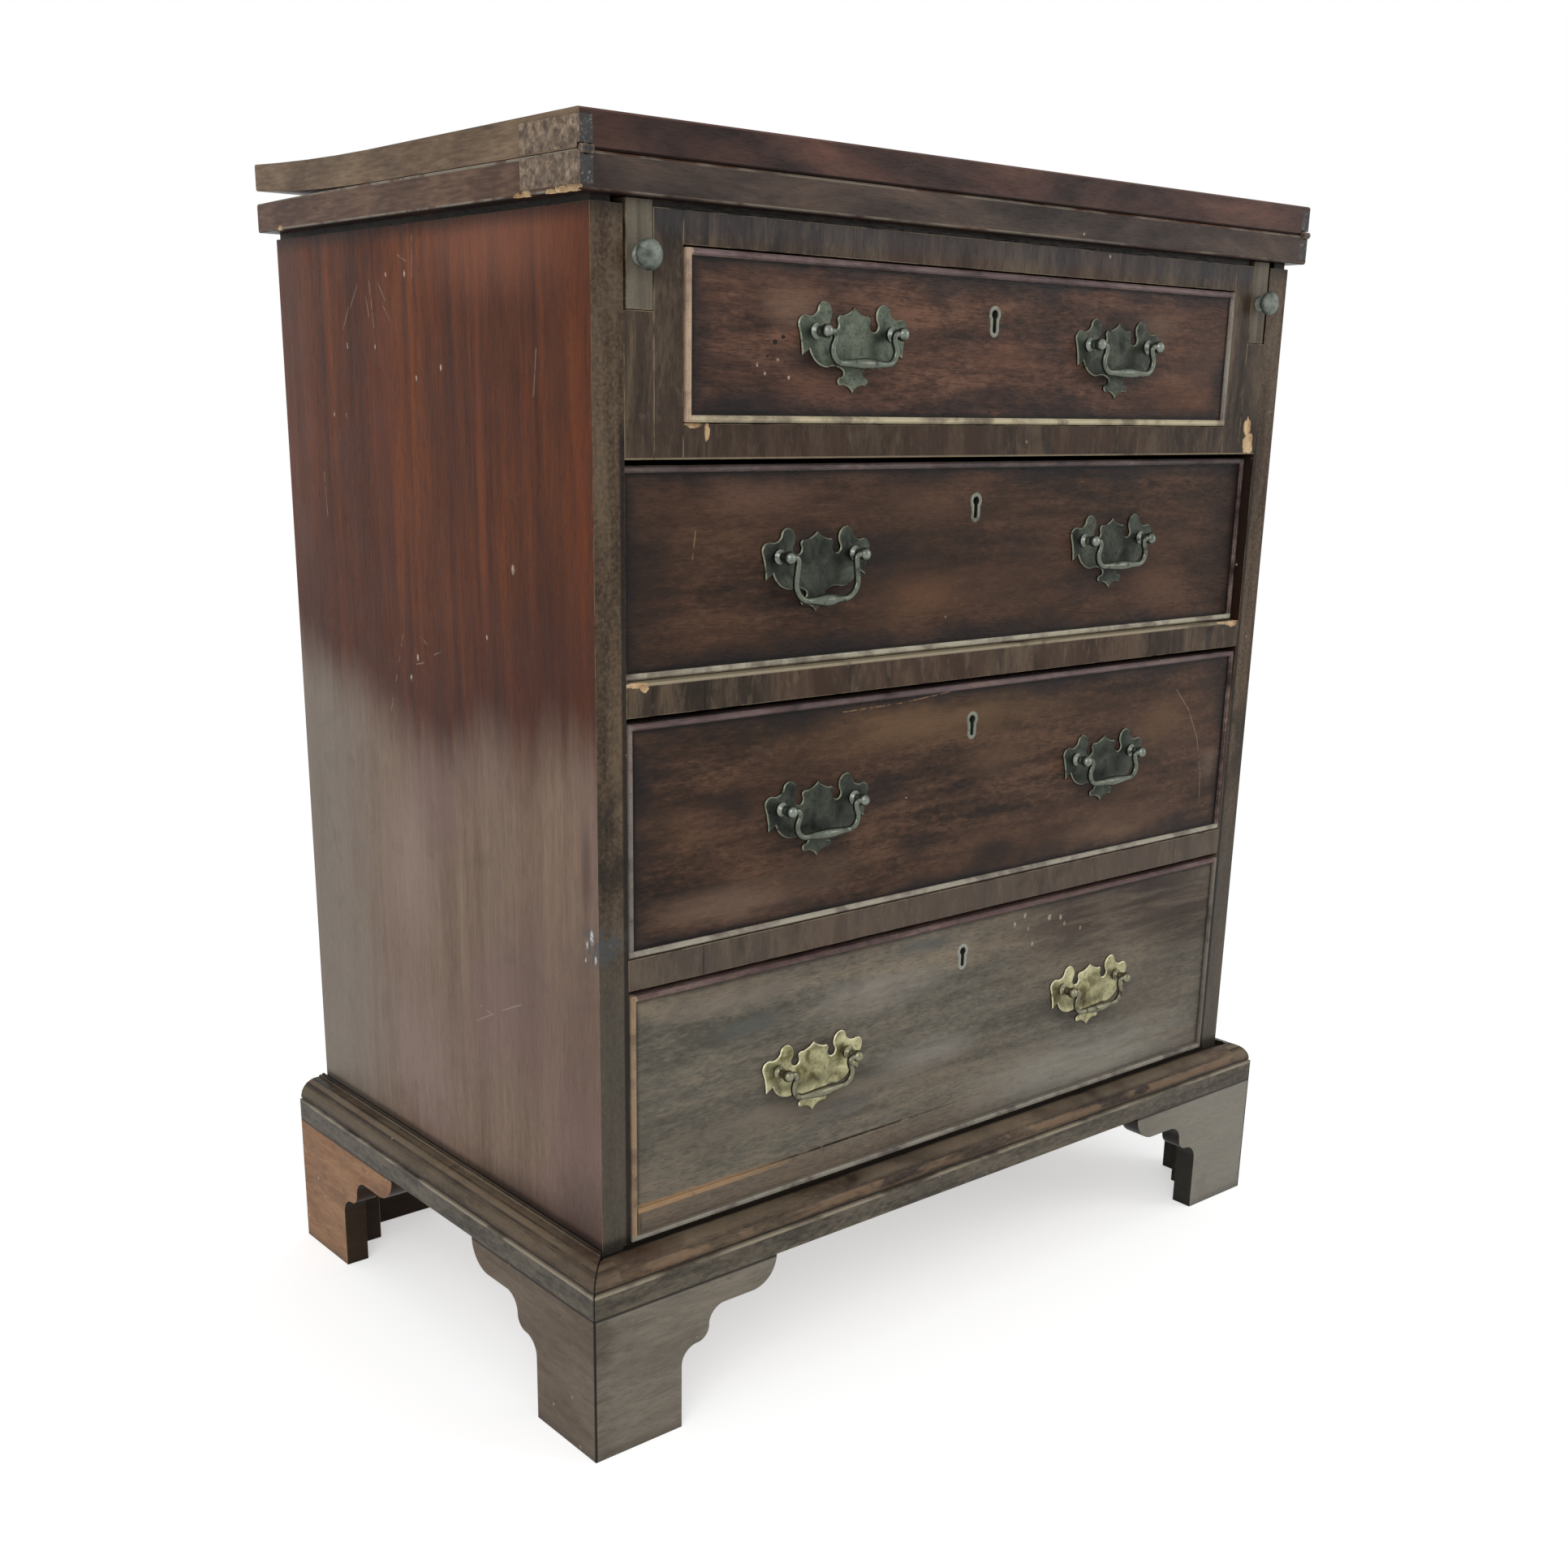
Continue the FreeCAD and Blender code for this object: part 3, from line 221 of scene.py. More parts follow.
class Finish(Nodes):
    """One material; its layers are painted one over another, placed by coordinates of the part."""

    def __init__(self, name, seed, metallic=0, specular=0.1):
        self.material = bpy.data.materials.new(name)
        self.material.use_nodes = True
        super().__init__(self.material.node_tree)
        self.shader = self.tree.nodes["Principled BSDF"]
        self.shader.inputs["Metallic"].default_value = metallic
        self.shader.inputs["Specular IOR Level"].default_value = specular
        self.place = self.node("TexCoord", output="Object")
        self.place_axes = self.node("SeparateXYZ", [(0, self.place)]).node.outputs
        self.normal_axes = self.node("SeparateXYZ", [(0, self.place.node.outputs["Normal"])]).node.outputs
        self.seed = seed
        self.colour = None
        self.late = []
        self.breaks = None

    def vector(self, operation, first, second, output=0):
        return self.node("VectorMath", [(0, first), (1, second)], output, operation=operation)

    def times(self, *masks):
        return self.fold("MULTIPLY", masks)

    def most(self, *masks):
        return self.fold("MAXIMUM", masks)

    def without(self, mask):
        return self.math("SUBTRACT", 1, mask)

    def axis(self, letter):
        return self.place_axes[letter.upper()]

    def aside(self):
        """Distance from the middle plane of the chest."""
        return self.math("ABSOLUTE", self.axis("x"))

    def facing(self, letter):
        """1 on faces square to an axis, whichever way they look."""
        return self.band(self.math("ABSOLUTE", self.normal_axes[letter.upper()]), *SQUARE_ON)

    def band(self, value, start, end):
        """0 before start and 1 past end, with a smooth step; start may be the larger."""
        return self.node("MapRange", [("Value", value), ("From Min", start), ("From Max", end)],
                         interpolation_type="SMOOTHSTEP")

    def beyond(self, letter, start, end):
        return self.band(self.axis(letter), start, end)

    def within(self, letter, low, high, reach):
        """1 between two planes across an axis, falling to 0 at reach outside them."""
        return self.times(self.beyond(letter, low - reach, low), self.beyond(letter, high + reach, high))

    def gap(self, first, second):
        """How far apart two values are."""
        return self.math("ABSOLUTE", self.math("SUBTRACT", first, second))

    def near(self, letter, value, reach):
        """1 close to a plane across an axis, 0 further off than reach."""
        return self.band(self.gap(self.axis(letter), value), reach, reach * 0.6)

    def noise(self, scale, stretch=(1, 1, 1), detail=3, distortion=0, shift=0):
        """Noise of about scale features a metre, drawn out along an axis where stretch is small."""
        offset = self.vector("ADD", self.place, (self.seed + shift, self.seed * 1.7, shift * 2.3))
        place = self.vector("MULTIPLY", offset, stretch)
        return self.node("TexNoise", [("Vector", place), ("Scale", scale), ("Detail", detail),
                                      ("Roughness", NOISE_ROUGHNESS), ("Distortion", distortion)])

    def cloud(self, scale, start, end, stretch=(1, 1, 1), detail=3, shift=0):
        return self.band(self.noise(scale, stretch, detail, 0.4, shift), start, end)

    def attribute(self, name):
        return self.node("Attribute", output="Fac", attribute_name=name)

    def flecks(self, scale, share, size, shift=0):
        """Sparse specks of mixed sizes: share of the cells of a Voronoi pattern have one."""
        place = self.vector("ADD", self.place, (shift, self.seed, shift))
        cells = self.node("TexVoronoi", [("Vector", place), ("Scale", scale)]).node.outputs
        draws = self.node("SeparateColor", [(0, cells["Color"])]).node.outputs
        chosen = self.math("LESS_THAN", draws[0], share)
        spread = self.math("DIVIDE", cells["Distance"], self.math("ADD", draws[1], 0.2))
        return self.times(chosen, self.band(spread, size, size * 0.4))

    def scratch(self, start, end, width):
        """A thin broken line from start to end."""
        if self.breaks is None:
            self.breaks = self.cloud(160, 0.36, 0.54, detail=2)
        start, along = Vector(start), Vector(end) - Vector(start)
        offset = self.vector("SUBTRACT", self.place, start)
        reach = self.vector("DOT_PRODUCT", offset, along / along.length_squared, 1)
        reach = self.math("MINIMUM", self.math("MAXIMUM", reach, 0), 1)
        nearest = self.node("VectorMath", [(0, along), ("Scale", reach)], operation="SCALE")
        gap = self.vector("DISTANCE", offset, nearest, 1)
        return self.times(self.band(gap, width, width * 0.3), self.breaks)

    def spot(self, centre, reach, core=0.35):
        """1 at centre, falling to 0 at reach along each axis."""
        scaled = self.vector("DIVIDE", self.vector("SUBTRACT", self.place, centre), reach)
        return self.band(self.vector("LENGTH", scaled, (0, 0, 0), 1), 1, core)

    def rim(self, spans, reach, raggedness, full=0):
        """Ragged border of a rectangle, 0 further in than reach; spans gives (axis, low, high) twice."""
        gaps = []
        for letter, low, high in spans:
            value = self.axis(letter)
            gaps += [self.math("SUBTRACT", value, low), self.math("SUBTRACT", high, value)]
        width = reach * raggedness
        ragged = self.math("MULTIPLY_ADD", self.noise(24, shift=12), width, width * -0.5)
        return self.band(self.math("ADD", self.fold("MINIMUM", gaps), ragged), reach, full)

    def ramp(self, value, *stops):
        output = self.node("ValToRGB", [(0, value)])
        elements = output.node.color_ramp.elements
        while len(elements) < len(stops):
            elements.new(0.5)
        for element, (position, colour) in zip(elements, stops):
            element.position = position
            element.color = rgb(*colour)
        return output

    def layer(self, mask, colour, share=1):
        """Paints a colour where a mask, or the product of a few, is 1, at most by share."""
        if isinstance(mask, tuple):
            mask = self.times(*mask)
        if share != 1:
            mask = self.math("MULTIPLY", mask, share)
        self.colour = self.node("Mix", [(0, mask), (6, self.colour), (7, colour)], 2, data_type="RGBA")

    def close(self, roughness, height, depth):
        """Links the painted colour, the roughness and a bump of that depth."""
        bump = self.node("Bump", [("Strength", 1), ("Distance", depth), ("Height", height)])
        for name, value in (("Base Color", self.colour), ("Roughness", roughness), ("Normal", bump)):
            self.feed(self.shader.inputs[name], value)
        return self.material


def drawn_out(along, share):
    """Noise stretch for grain along an axis, or along either of two."""
    return tuple(share if letter in along else 1 for letter in "xyz")


# Wood finishes

def mahogany(name, seed, along, tones, figure=(13, 0.16), figure_share=0.6, contrast=0.1, dash=(0.12, 0.4)):
    """Figure, dashes, mottle and pores along the grain; the caller paints its stains, wear, painted shade
    and painted highlights over them.
    """
    coat = Finish(name, seed)
    dark, middle, light = tones
    scale, stretch = figure
    broad = coat.noise(scale, drawn_out(along, stretch), 4, 0.8)
    streaks = coat.noise(120, drawn_out(along, dash[0]), 3, 0.3)
    mottle = coat.noise(330, drawn_out(along, dash[1]), 3, 0.5, 31)
    coat.fine = coat.math("ADD", coat.times(streaks, 0.5), coat.times(mottle, 0.5))
    tone = coat.math("ADD", coat.times(broad, figure_share), coat.times(coat.fine, 1 - figure_share))
    coat.colour = coat.ramp(tone, (0.5 - contrast, dark), (0.5, middle), (0.5 + contrast, light))
    pores = coat.cloud(1300, 0.58, 0.68, drawn_out(along, 0.08), 1)
    coat.layer(pores, dark, 0.55)
    coat.grain = coat.math("SUBTRACT", coat.fine, coat.times(pores, 0.5))
    return coat


def age(coat, wear_colour, wear_share, fleck_share, grime_share=0.45, gloss=0.26):
    """Grime, worn arrises, late marks (stains, painted shade and painted highlights), bare breaks and
    flecks, then the finished material.
    """
    coat.layer(coat.cloud(26, 0.56, 0.72, detail=4, shift=9), GRIME_AND_SHADE, grime_share)
    worn = coat.times(coat.attribute("wear"), coat.cloud(48, 0.38, 0.56, shift=2))
    coat.layer(worn, wear_colour, wear_share)
    for mask, colour, share in coat.late:
        coat.layer(mask, colour, share)
    coat.layer(coat.attribute("raw"), coat.ramp(coat.fine, (0.35, (172, 138, 100)), (0.6, BARE_WOOD)))
    coat.layer(coat.flecks(80, fleck_share, 0.13), FLECK, 0.75)
    dull = coat.math("ADD", worn, coat.noise(30, detail=2, shift=6))
    roughness = coat.math("MULTIPLY_ADD", dull, 0.24, gloss)
    return coat.close(roughness, coat.grain, 0.25 * MM)


def side_finish():
    """The sides: red-brown boards with soft upright streaks, olive front edges, greyed below by a painted
    reflection of the floor, with painted shade on the inner faces, under the leaf and above the moulding.
    """
    tones = ((56, 22, 4), (93, 44, 12), (122, 62, 20))
    coat = mahogany("side_mahogany", 1, "z", tones, (30, 0.06), 0.6, 0.12, (0.05, 0.16))
    coat.layer(coat.cloud(7, 0.42, 0.66, (1, 1, 0.5), 2, 3), (62, 31, 22), 0.35)
    for y, z, half_width, half_height, colour in millimetres(SIDE_STREAKS):
        coat.layer(coat.spot((0, y, z), (1, half_width, half_height), 0.1), colour, 0.42)
    # Painted shade: the inner faces of the sides painted dark, inside the carcass
    inside = coat.band(coat.aside(), 0.303, 0.3015)
    coat.layer((coat.facing("x"), inside), (38, 31, 26), 0.95)
    rear = (coat.beyond("y", 0.09, 0.21), coat.cloud(20, 0.3, 0.62, drawn_out("z", 0.1)))
    coat.layer(rear, (98, 66, 56), 0.6)
    front = coat.times(coat.facing("y"), coat.beyond("y", 0, -0.1))
    # Painted reflection of the floor, greying the lower part of the sides
    paint_floor_reflection(coat, front)
    edge = coat.math("ADD", coat.times(coat.noise(60, drawn_out("z", 0.12)), 0.6),
                     coat.times(coat.noise(420, detail=2), 0.4))
    coat.layer(front, coat.ramp(edge, (0.38, (52, 43, 34)), (0.62, (102, 88, 71))), 0.92)
    # Painted reflection of the floor: the front edges grey below
    coat.layer((front, coat.beyond("z", 0.4, 0.28)), (80, 78, 71), 0.6)
    joint = coat.band(coat.aside(), 0.3042, 0.3026)
    coat.layer((front, joint, coat.beyond("z", 0.66, 0.64)), GRIME_AND_SHADE, 0.8)
    gloom = (front, coat.spot((0, 0, 0.4), (1, 1, 0.06)), coat.cloud(40, 0.36, 0.56))
    coat.layer(gloom, (32, 30, 28), 0.7)
    # Painted shade: darker under the overhang of the leaf and in the recess above the base moulding
    foot = coat.beyond("z", BASE_TOP + 7 * MM, BASE_TOP + 2 * MM)
    coat.layer(coat.most(foot, coat.beyond("z", CARCASS_TOP - 12 * MM, CARCASS_TOP)), GRIME_AND_SHADE, 0.6)
    for y0, z0, y1, z1 in millimetres(SIDE_SCRATCHES):
        line = coat.scratch((-HALF_WIDTH, y0, z0), (-HALF_WIDTH, y1, z1), SCRATCH_WIDTH)
        coat.layer(line, FLECK, 0.28)
    crumbs = coat.cloud(700, 0.38, 0.5, detail=2)
    for y, z, reach in millimetres(SIDE_FLECKS):
        fleck = coat.spot((-HALF_WIDTH, y, z), (reach, reach * 0.8, reach * 1.4))
        coat.layer((fleck, crumbs), FLECK, 0.85)
    coat.layer(coat.flecks(70, 0.13, 0.085, 4), (160, 132, 112), 0.55)
    bruise = (coat.spot(BRUISE_PLACE, (0.03, 0.024, 0.017)), coat.cloud(90, 0.4, 0.55))
    coat.late = [(bruise, (72, 77, 80), 0.7)]
    for y, z, half_width, half_height in millimetres(BRUISE_MARKS):
        mark = coat.spot((-HALF_WIDTH, y, z), (0.012, half_width, half_height))
        coat.late.append(((mark, crumbs), (206, 212, 212), 0.9))
    return age(coat, OLIVE_WEAR, 0.85, 0.05, 0.12)


def paint_floor_reflection(coat, front):
    """The lower part of the sides, greyed as a painted reflection of the bright floor: a soft wavering
    edge, highest at the back, streaks over it.
    """
    waver = coat.noise(9, (1, 1, 0.3), 3, 0.6, 7)
    streak = coat.noise(34, drawn_out("z", 0.06), 3, 0.4, 4)
    level = coat.math("MULTIPLY_ADD", waver, 0.05, coat.axis("z"))
    level = coat.math("MULTIPLY_ADD", streak, 0.06, level)
    level = coat.math("MULTIPLY_ADD", coat.beyond("y", 0.02, 0.22), -0.05, level)
    level = coat.math("MULTIPLY_ADD", coat.beyond("y", 0.02, -0.2), -0.024, level)
    side = coat.without(front)
    coat.layer((coat.band(level, FLOOR_REFLECTION_TOP + 0.195, FLOOR_REFLECTION_TOP + 0.065), side), (50, 20, 13), 0.55)
    floor_reflection = coat.times(coat.band(level, FLOOR_REFLECTION_TOP + 0.092, FLOOR_REFLECTION_TOP + 0.022), side)
    thin = coat.math("MULTIPLY_ADD", coat.band(streak, 0.46, 0.6), -0.16, 0.92)
    tan = coat.ramp(coat.fine, (0.36, (116, 96, 81)), (0.64, (138, 117, 99)))
    coat.layer((floor_reflection, thin), tan)
    pink = (floor_reflection, coat.cloud(8, 0.4, 0.62, (1, 1, 0.6), 2, 21), coat.beyond("y", 0.16, 0.02))
    coat.layer(pink, (122, 98, 92), 0.6)
    coat.layer((floor_reflection, coat.beyond("y", 0.06, 0.17)), (131, 123, 113), 0.65)
    for y, z, half_width, half_height, colour in millimetres(FLOOR_REFLECTION_STREAKS):
        coat.layer(coat.spot((0, y, z), (1, half_width, half_height), 0.1), colour, 0.7)


def drawer_finish(n, tones, golden, gloom_share):
    """A drawer front: mottled figure, glowing and gloomy places, blackened towards the beads, with painted
    shade along the beads and under the handles.
    """
    figure = (26, 0.25) if n < 4 else (14, 0.14)
    coat = mahogany(f"drawer_{n}_mahogany", 10 * n, "x", tones, figure, 0.45, 0.09 if n < 4 else 0.1)
    low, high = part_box(f"drawer_{n}_cockbeads")
    coat.layer(coat.cloud(9, 0.44, 0.7, (0.4, 1, 1.5), 4, 8), golden, 0.45)
    coat.layer(coat.cloud(15, 0.5, 0.72, (0.3, 1, 1.5), 4, 3), tones[0], gloom_share * 0.6)
    raggedness, scale, stretch = (0.6, 34, 0.4) if n < 4 else (0.5, 70, 0.12)
    patches = coat.cloud(scale, 0.36, 0.6, (stretch, 1, 1.2), 4, 17)
    ragged = coat.math("MULTIPLY_ADD", patches, raggedness, 1 - raggedness)
    for x, z, half_width, half_height, colour in millimetres(DRAWER_CLOUDS[n]):
        place = coat.spot((x, low.y, z), (half_width, 1, half_height), 0.1)
        coat.layer((place, ragged), colour, 0.75 if n < 4 else 0.95)
    field = (("x", low.x, high.x), ("z", low.z, high.z))
    coat.layer(coat.rim(field, 20 * MM, 2), BLUE_BLACK, gloom_share)
    # Painted shade: a dark line along the inside of the beads, standing for their contact shadow
    coat.layer(coat.rim(field, 8 * MM, 0.3, 4.6 * MM), GRIME_AND_SHADE, 0.8 if n < 4 else 0.55)
    # Dirt round each handle, and a painted shadow under it, set 8 mm below
    for x, z in handle_places(n):
        coat.layer(coat.spot((x, low.y, z - 8 * MM), (0.056, 1, 0.036)), GRIME_AND_SHADE, 0.6)
    depth, lines = DRAWER_SCRATCHES.get(n, (0, ()))
    for line in lines:
        places = millimetres((x, depth, z) for x, z in line)
        for start, end in zip(places, places[1:]):
            coat.layer(coat.scratch(start, end, SCRATCH_WIDTH), (150, 122, 92), 0.55)
    for x, z, reach in millimetres(DRAWER_HOLES.get(n, ())):
        coat.layer(coat.spot((x, low.y, z), (reach, 1, reach * 0.8), 0.6), GRIME_AND_SHADE, 0.95)
    crumbs = coat.cloud(800, 0.4, 0.52, detail=2)
    for x, z, reach in millimetres(DRAWER_FLECKS.get(n, ())):
        coat.layer((coat.spot((x, low.y, z), (reach, 1, reach * 1.2), 0.4), crumbs), FLECK, 0.7)
    if n == 4:
        paint_facing_strip(coat)
    return age(coat, TAN_WEAR, 0.7, 0.04 if n < 4 else 0.08, 0.15)


def paint_facing_strip(coat):
    """The strip along the foot of the lowest drawer: a worn golden end and a dark open joint."""
    lip_low, lip_high = FACING_STRIP
    end = coat.beyond("x", -0.12, -0.25)
    lip = coat.near("z", lip_high - 1 * MM, 2.8 * MM)
    crack = coat.near("z", lip_high + 0.4 * MM, 0.9 * MM)
    broken = coat.cloud(70, 0.34, 0.5, shift=5)
    left_half = coat.beyond("x", 0.06, -0.1)
    below = coat.beyond("z", lip_high, lip_high - 3 * MM)
    coat.late = [
        ((below, left_half, coat.cloud(20, 0.36, 0.6, (0.3, 1, 1))), (100, 78, 62), 0.4),
        ((crack, broken, coat.without(end), left_half), GRIME_AND_SHADE, 0.85),
        ((lip, end, coat.cloud(45, 0.28, 0.48, shift=4)), (164, 132, 98), 0.85),
        (coat.beyond("z", lip_low + 2 * MM, lip_low + 1 * MM), (120, 114, 104), 0.6),
    ]


def crossband_finish():
    """Rails and stiles veneered across: upright figure, reddish lengths, bunches of dark stripes."""
    tones = ((44, 36, 29), (68, 56, 46), (92, 77, 62))
    coat = mahogany("crossband_mahogany", 3, "z", tones, (34, 0.3), 0.72)
    coat.layer(coat.cloud(9, 0.47, 0.58, (1, 1, 0.1), 2, 3), (78, 54, 41), 0.35)
    bunches = coat.cloud(12, 0.5, 0.6, (1, 1, 0.1), 2, 11)
    stripes = coat.cloud(110, 0.46, 0.66, (1, 1, 0.22), 3, 5)
    coat.layer((stripes, bunches), (32, 27, 23), 0.55)
    coat.layer(coat.cloud(200, 0.54, 0.7, (1, 1, 0.4), 3, 19), (104, 92, 76), 0.35)
    # Painted reflection of the floor: the lower rails and stiles grey
    coat.layer(coat.beyond("z", 0.42, 0.31), (102, 93, 83), 0.4)
    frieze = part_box("frieze_rail")[0].z
    coat.layer(coat.beyond("z", frieze, frieze + 12 * MM), (54, 57, 64), 0.42)
    for place in VENEER_JOINTS:
        coat.layer(coat.near("x", place, 0.7 * MM), GRIME_AND_SHADE, 0.6)
    patchy = coat.cloud(30, 0.3, 0.46, (0.4, 1, 1), 4, 15)
    upper_low, upper_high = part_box("rail_upper")
    coat.layer(coat.within("z", upper_low.z, upper_high.z, 4 * MM), (50, 36, 27), 0.28)
    coat.late = [
        ((coat.near("z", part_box("rail_middle")[1].z, 2.4 * MM), patchy), (158, 146, 122), 0.85),
        ((coat.near("z", upper_low.z, 1.4 * MM), patchy), OLIVE_WEAR, 0.6),
    ]
    return age(coat, OLIVE_WEAR, 0.7, 0.04)


def loper_finish():
    """The lopers: plain olive-grey ends, browner along their length."""
    coat = mahogany("loper_mahogany", 4, "y", ((60, 50, 38), (88, 74, 56), (112, 96, 74)), (40, 0.1))
    streaks = coat.noise(90, drawn_out("z", 0.05))
    coat.layer(coat.facing("y"), coat.ramp(streaks, (0.38, (66, 60, 50)), (0.6, (108, 101, 88))), 0.9)
    return age(coat, OLIVE_WEAR, 0.6, 0.02)


def leaf_finish(name, seed, edge_tones, end_tones):
    """A leaf of the top: red-brown faces, darker long edges, speckled end grain, painted shade along its
    lower front arris.
    """
    tones = ((58, 30, 21), (92, 50, 34), (122, 72, 48))
    coat = mahogany(name, seed, "x", tones, (11, 0.16))
    long_edge = coat.noise(26, drawn_out("x", 0.3), 4, 0.5, 3)
    speckle = coat.noise(460, (1, 0.12, 1), 3, 0, 5)
    broad = coat.noise(22, (1, 0.6, 1), 3, 0.4, 8)
    ends = coat.math("ADD", coat.times(speckle, 0.45), coat.times(broad, 0.55))
    upright = coat.without(coat.facing("z"))
    faces = [(upright, long_edge, edge_tones, 0.96), (coat.facing("x"), ends, end_tones, 0.95)]
    for face, grain, (dark, middle, light), share in faces:
        coat.layer(face, coat.ramp(grain, (0.34, dark), (0.5, middle), (0.66, light)), share)
    patchy = coat.cloud(38, 0.38, 0.54, (0.5, 1, 1), 3, 15)
    low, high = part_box(name.replace("_mahogany", ""))
    if name.startswith("fixed"):
        arris = coat.most(coat.near("z", low.z, 2 * MM), coat.near("z", high.z, 1.9 * MM))
        coat.late = [
            ((arris, patchy, upright), (136, 128, 114), 0.85),
            # Painted shade along the underside arris, over the gap above the carcass
            (coat.near("z", low.z, 0.7 * MM), GRIME_AND_SHADE, 0.85),
        ]
    else:
        front = coat.beyond("y", low.y + 4 * MM, low.y + 2 * MM)
        # Painted shade along the fold leaf's lower front arris, in the joint between the leaves
        coat.late = [((coat.near("z", low.z, 1.6 * MM), front), GRIME_AND_SHADE, 0.85)]
    return age(coat, (120, 104, 88), 0.6, 0.035, 0.2)


def moulding_finish():
    """The base moulding: reddish worn thumb, greyer fascia, black mitres and a pale line between, lighter
    upper faces as painted top light, painted shade in the recess by the carcass, reed lines painted as
    shade and highlights.
    """
    tones = ((44, 35, 28), (73, 61, 49), (102, 88, 70))
    coat = mahogany("moulding_mahogany", 7, "xy", tones, (24, 0.2))
    fascia = coat.beyond("z", THUMB_Z, THUMB_Z - 1.5 * MM)
    coat.layer((coat.without(fascia), coat.cloud(9, 0.46, 0.66)), (84, 60, 47), 0.35)
    coat.layer(fascia, coat.ramp(coat.fine, (0.4, (66, 62, 55)), (0.6, (104, 97, 85))), 0.85)
    # Painted top light: the upward faces of the moulding lighter
    coat.layer((coat.facing("z"), coat.cloud(24, 0.36, 0.6, (0.4, 0.4, 1))), (122, 108, 90), 0.55)
    patchy = coat.cloud(34, 0.4, 0.54, (0.4, 0.4, 1), 3, 15)
    case_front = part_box("side_left")[0].y
    beside = coat.band(coat.aside(), HALF_WIDTH + 3.2 * MM, HALF_WIDTH + 1.6 * MM)
    before = coat.beyond("y", case_front - 3.2 * MM, case_front - 1.6 * MM)
    low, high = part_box("base_moulding")
    inward = coat.math("SUBTRACT", high.x, coat.aside())
    depth = coat.math("MINIMUM", inward, coat.math("SUBTRACT", coat.axis("y"), low.y))
    thumb = coat.beyond("z", THUMB_Z + 1 * MM, THUMB_Z + 2 * MM)
    flank = coat.band(coat.aside(), HALF_WIDTH - 1 * MM, HALF_WIDTH + 1 * MM)
    front_wear_and_highlight = coat.times(coat.without(flank), coat.cloud(60, 0.44, 0.56, (0.3, 1, 1), 3, 9))
    long_patches = coat.cloud(16, 0.34, 0.5, (0.3, 0.3, 1), 3, 25)
    # Reed lines that the mesh lacks: dark lines of painted shade, with painted highlights between them and
    # along the front edge, partly wear
    reeds = [(6.5, 1, flank, GRIME_AND_SHADE, 0.65), (9.5, 2.2, flank, (132, 114, 92), 0.45),
             (12.5, 1, flank, GRIME_AND_SHADE, 0.6), (2.6, 1.6, front_wear_and_highlight, (140, 114, 90), 0.5),
             (3, 2, flank, (122, 109, 90), 0.45)]
    for place, reach, where, colour, share in reeds:
        line = coat.band(coat.gap(depth, place * MM), reach * MM, reach * 0.5 * MM)
        coat.late.append(((line, thumb, where, long_patches), colour, share))
    coat.late += [
        # Painted shade in the recess where the moulding meets the carcass
        ((beside, before), GRIME_AND_SHADE, 0.9),
        (coat.near("z", THUMB_Z + 0.6 * MM, 1.1 * MM), GRIME_AND_SHADE, 0.7),
        ((coat.near("z", THUMB_Z - 2 * MM, 1.5 * MM), patchy), (164, 152, 132), 0.7),
        (mitre(coat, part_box("base_moulding"), 0.8 * MM), GRIME_AND_SHADE, 0.95),
    ]
    return age(coat, (140, 126, 104), 0.65, 0.05, 0.2)


def mitre(coat, box, reach):
    """A line on the plane through both front corners of a box, turned 45 degrees."""
    low, high = box
    inward = coat.math("SUBTRACT", high.x, coat.aside())
    behind = coat.math("SUBTRACT", coat.axis("y"), low.y)
    return coat.band(coat.gap(inward, behind), reach * 1.4, reach * 0.7)


def foot_finish(name, seed, tones):
    """The bracket feet: scuffed, with black mitres, a black joint under the moulding, and hidden faces
    darkened as painted shade.
    """
    coat = mahogany(name, seed, "xy", tones, (26, 0.3), 0.5, 0.13, (0.1, 0.25))
    coat.layer(coat.cloud(120, 0.5, 0.7, (0.3, 0.3, 1), 4, 4), tones[0], 0.6)
    coat.layer(coat.beyond("x", 0.12, 0.3), (133, 132, 122), 0.6)
    left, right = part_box("foot_front_left"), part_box("foot_front_right")
    outer = coat.band(coat.aside(), right[1].x - 9 * MM, right[1].x - 6 * MM)
    flank = coat.times(coat.facing("x"), outer)
    brow = coat.times(coat.facing("y"), coat.beyond("y", left[0].y + 9 * MM, left[0].y + 6 * MM))
    fore = coat.beyond("y", 0, -0.05)
    coat.layer((flank, fore), (96, 70, 46), 0.36)
    coat.layer((brow, coat.beyond("x", -0.34, -0.322)), (152, 144, 130), 0.22)
    shown = coat.most(flank, brow)
    coat.layer((shown, coat.flecks(95, 0.6, 0.15, 6)), (178, 164, 142), 0.6)
    # Painted shade: faces of the feet that do not face out painted near black
    coat.layer((coat.without(shown), coat.without(coat.attribute("wear"))), (30, 26, 23), 0.9)
    coat.late = [
        (mitre(coat, (left[0], right[1]), 1.2 * MM), GRIME_AND_SHADE, 0.97),
        (coat.beyond("z", FOOT_HEIGHT - 2.6 * MM, FOOT_HEIGHT - 1.2 * MM), GRIME_AND_SHADE, 0.85),
        (coat.beyond("z", 9 * MM, 0), GRIME_AND_SHADE, 0.35),
    ]
    return age(coat, (140, 122, 98), 0.7, 0.1, 0.15)


